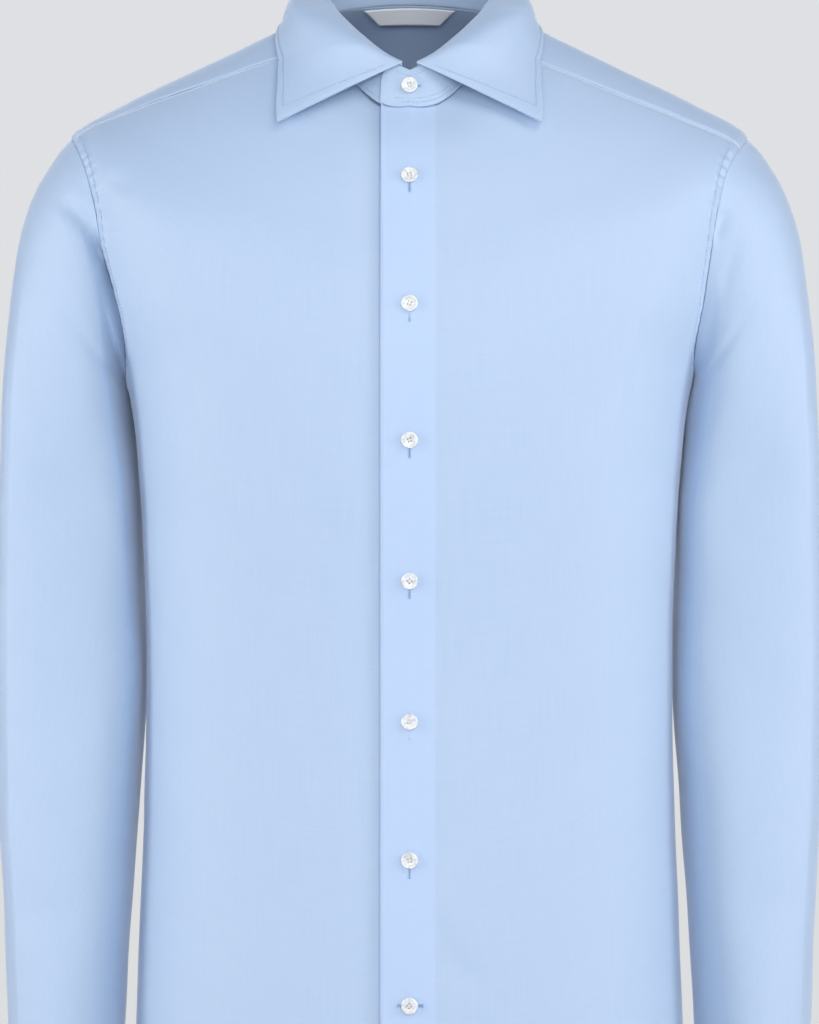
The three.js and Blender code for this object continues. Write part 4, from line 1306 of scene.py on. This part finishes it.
def buttonhole(name, seat, out, up, low, high):
    where = facing(seat, out, up)
    stitches, slit = bmesh.new(), bmesh.new()
    count = int((high - low) / BINDING_PITCH)
    for side in (-SLIT_SIDE, SLIT_SIDE):
        for k in range(count + 1):
            bead(stitches, (side, mix(low, high, k / count), 0.12), (0.62, 0.2, 0.2))
    for end in (low, high):
        for k in range(-3, 4):
            bead(stitches, (k * 0.3, end, 0.16), (0.2, 0.7, 0.2))
    # The slit is a thin dark-blue sheet of painted shade, where the cut lies in shadow.
    bead(slit, (0, (low + high) / 2, 0.1), (0.18, (high - low) / 2, 0.1), rounds=2)
    for bm, ending, material in ((stitches, "_stitches", thread), (slit, "_slit_painted_shade", slit_shade_material)):
        bmesh.ops.transform(bm, matrix=where, verts=bm.verts)
        dress(finish_mesh(name + ending, bm), material, "shirting")


for k, (height, _) in enumerate(FRONT_BUTTONS, 1):
    way, low, high = (ACROSS, -7.6, 8.8) if k == len(FRONT_BUTTONS) else (UPRIGHT, -11.4, 2.0)
    buttonhole("buttonhole_%d" % k, *front_seat(height, 0.62), way, low, high)
buttonhole("buttonhole_collar", *band_seat(0), ACROSS, -3.0, 7.4)
print("buttonholes:", len(FRONT_BUTTONS) + 1)

# %% [markdown]
# ## Neck label
# The label is a satin tape cut to a trapezium and sewn under the band at the centre back. It is blank here.

# %% The label
LABEL_HALF, LABEL_TOP, LABEL_FALL, LABEL_WALL = (32, 22), 0.03, 12 / 32, 0.5


def make_label():
    def place(c, v):
        across = (c - 0.5) * 2 * mix(*LABEL_HALF, v)
        ring = LABEL_TOP + v * LABEL_FALL
        return torso(180 - angle_at(across, ring), ring, -1.9 - 3.5 * v)

    piece, area = grid_panel("label_tape", 40, 10, place, inward=True)
    give_wall(piece, LABEL_WALL)
    dress(piece, satin, "label", "label")
    sewn_sheet(piece, (0.064, 0.013), area)


make_label()

# %% [markdown]
# ## Stage, light and camera
# The shirt stands over a pale floor in a pale room. Both are evenly pale to the camera alone: the cloth
# sees a dim blue room and a floor of paper, so its shadows stay soft and blue. Five lights stand round it,
# as in a small photo studio: a broad one in front, a strip at each side, one behind and one above.

# %% Stage
FLOOR_SIZE, FLOOR_Z, FLOOR_COLOUR, FLOOR_GLOW = 14, -0.96, "#EDEEF0", 0.85
ROOM_COLOUR, ROOM_STRENGTH, SEEN_COLOUR, SEEN_STRENGTH = "#C3D6F4", 0.28, "#E9EBEE", 0.9


def seen_or_real(tree, real, seen):
    """The second shader for the camera's own rays, and the first one for all others."""
    ray = node(tree, "ShaderNodeLightPath")
    both = node(
        tree, "ShaderNodeMixShader", Fac=ray.outputs["Is Camera Ray"], _1=real.outputs[0], _2=seen.outputs[0]
    )
    return both.outputs[0]


bm = bmesh.new()
under = Matrix.Translation((0, 0, FLOOR_Z))
bmesh.ops.create_grid(bm, x_segments=1, y_segments=1, size=FLOOR_SIZE / 2, matrix=under)
studio_floor = finish_mesh("studio_floor", bm)
paint, tree = new_material("studio_floor_paint")
coat = node(tree, "ShaderNodeBsdfPrincipled", Base_Color=linear(FLOOR_COLOUR), Roughness=0.9)
glow = node(tree, "ShaderNodeEmission", Color=linear(FLOOR_COLOUR), Strength=FLOOR_GLOW)
node(tree, "ShaderNodeOutputMaterial", Surface=seen_or_real(tree, coat, glow))
studio_floor.data.materials.append(paint)


def area_light(name, place, target, size, watts):
    data = bpy.data.lights.new(name, "AREA")
    data.shape = "RECTANGLE"
    data.size, data.size_y = size
    data.energy = watts
    lamp = bpy.data.objects.new(name, data)
    lamp.location = place
    lamp.rotation_euler = (Vector(target) - Vector(place)).to_track_quat("-Z", "Y").to_euler()
    bpy.context.scene.collection.objects.link(lamp)


area_light("softbox_front", (0.1, -3.6, 0.5), (0, 0, -0.3), (3.4, 1.2), 53)
area_light("strip_left", (-2.0, -0.8, 0.0), (0, 0, -0.4), (0.8, 1.8), 22)
area_light("strip_right", (2.0, -0.9, 0.0), (0, 0, -0.3), (0.8, 1.8), 20)
area_light("softbox_back", (0, 3.0, 0.5), (0, 0, -0.35), (2.6, 1.2), 22)
area_light("softbox_top", (0.8, -1.3, 1.5), (0, 0, -0.2), (1.6, 1.0), 13)
world = bpy.data.worlds.new("studio")
world.use_nodes = True
room = world.node_tree
walls = room.nodes["Background"]
walls.inputs["Color"].default_value = linear(ROOM_COLOUR)
walls.inputs["Strength"].default_value = ROOM_STRENGTH
seen = node(room, "ShaderNodeBackground", Color=linear(SEEN_COLOUR), Strength=SEEN_STRENGTH)
room.links.new(seen_or_real(room, walls, seen), room.nodes["World Output"].inputs["Surface"])
bpy.context.scene.world = world
print("lights:", len(bpy.data.lights))

# %% [markdown]
# The camera looks straight at the chest from 3.2 m away through a long lens, so the shoulders and hem keep
# their true proportions. Its lens is worked out from the scale of the photo, in pixels.

# %% Camera
CAMERA_Y, CAMERA_Z = -3.2, -0.352
FOCAL_PIXELS, PICTURE_PIXELS, SENSOR = 4715.4, 1024, 36
lens_data = bpy.data.cameras.new("photo_camera")
lens_data.lens = FOCAL_PIXELS * SENSOR / PICTURE_PIXELS
lens_data.sensor_width = SENSOR
camera = bpy.data.objects.new("photo_camera", lens_data)
camera.location = (0, CAMERA_Y, CAMERA_Z)
camera.rotation_euler = (math.radians(90), 0, 0)
bpy.context.scene.collection.objects.link(camera)
bpy.context.scene.camera = camera
bpy.context.scene.view_settings.view_transform = "Standard"
print("lens", round(lens_data.lens, 1), "mm")
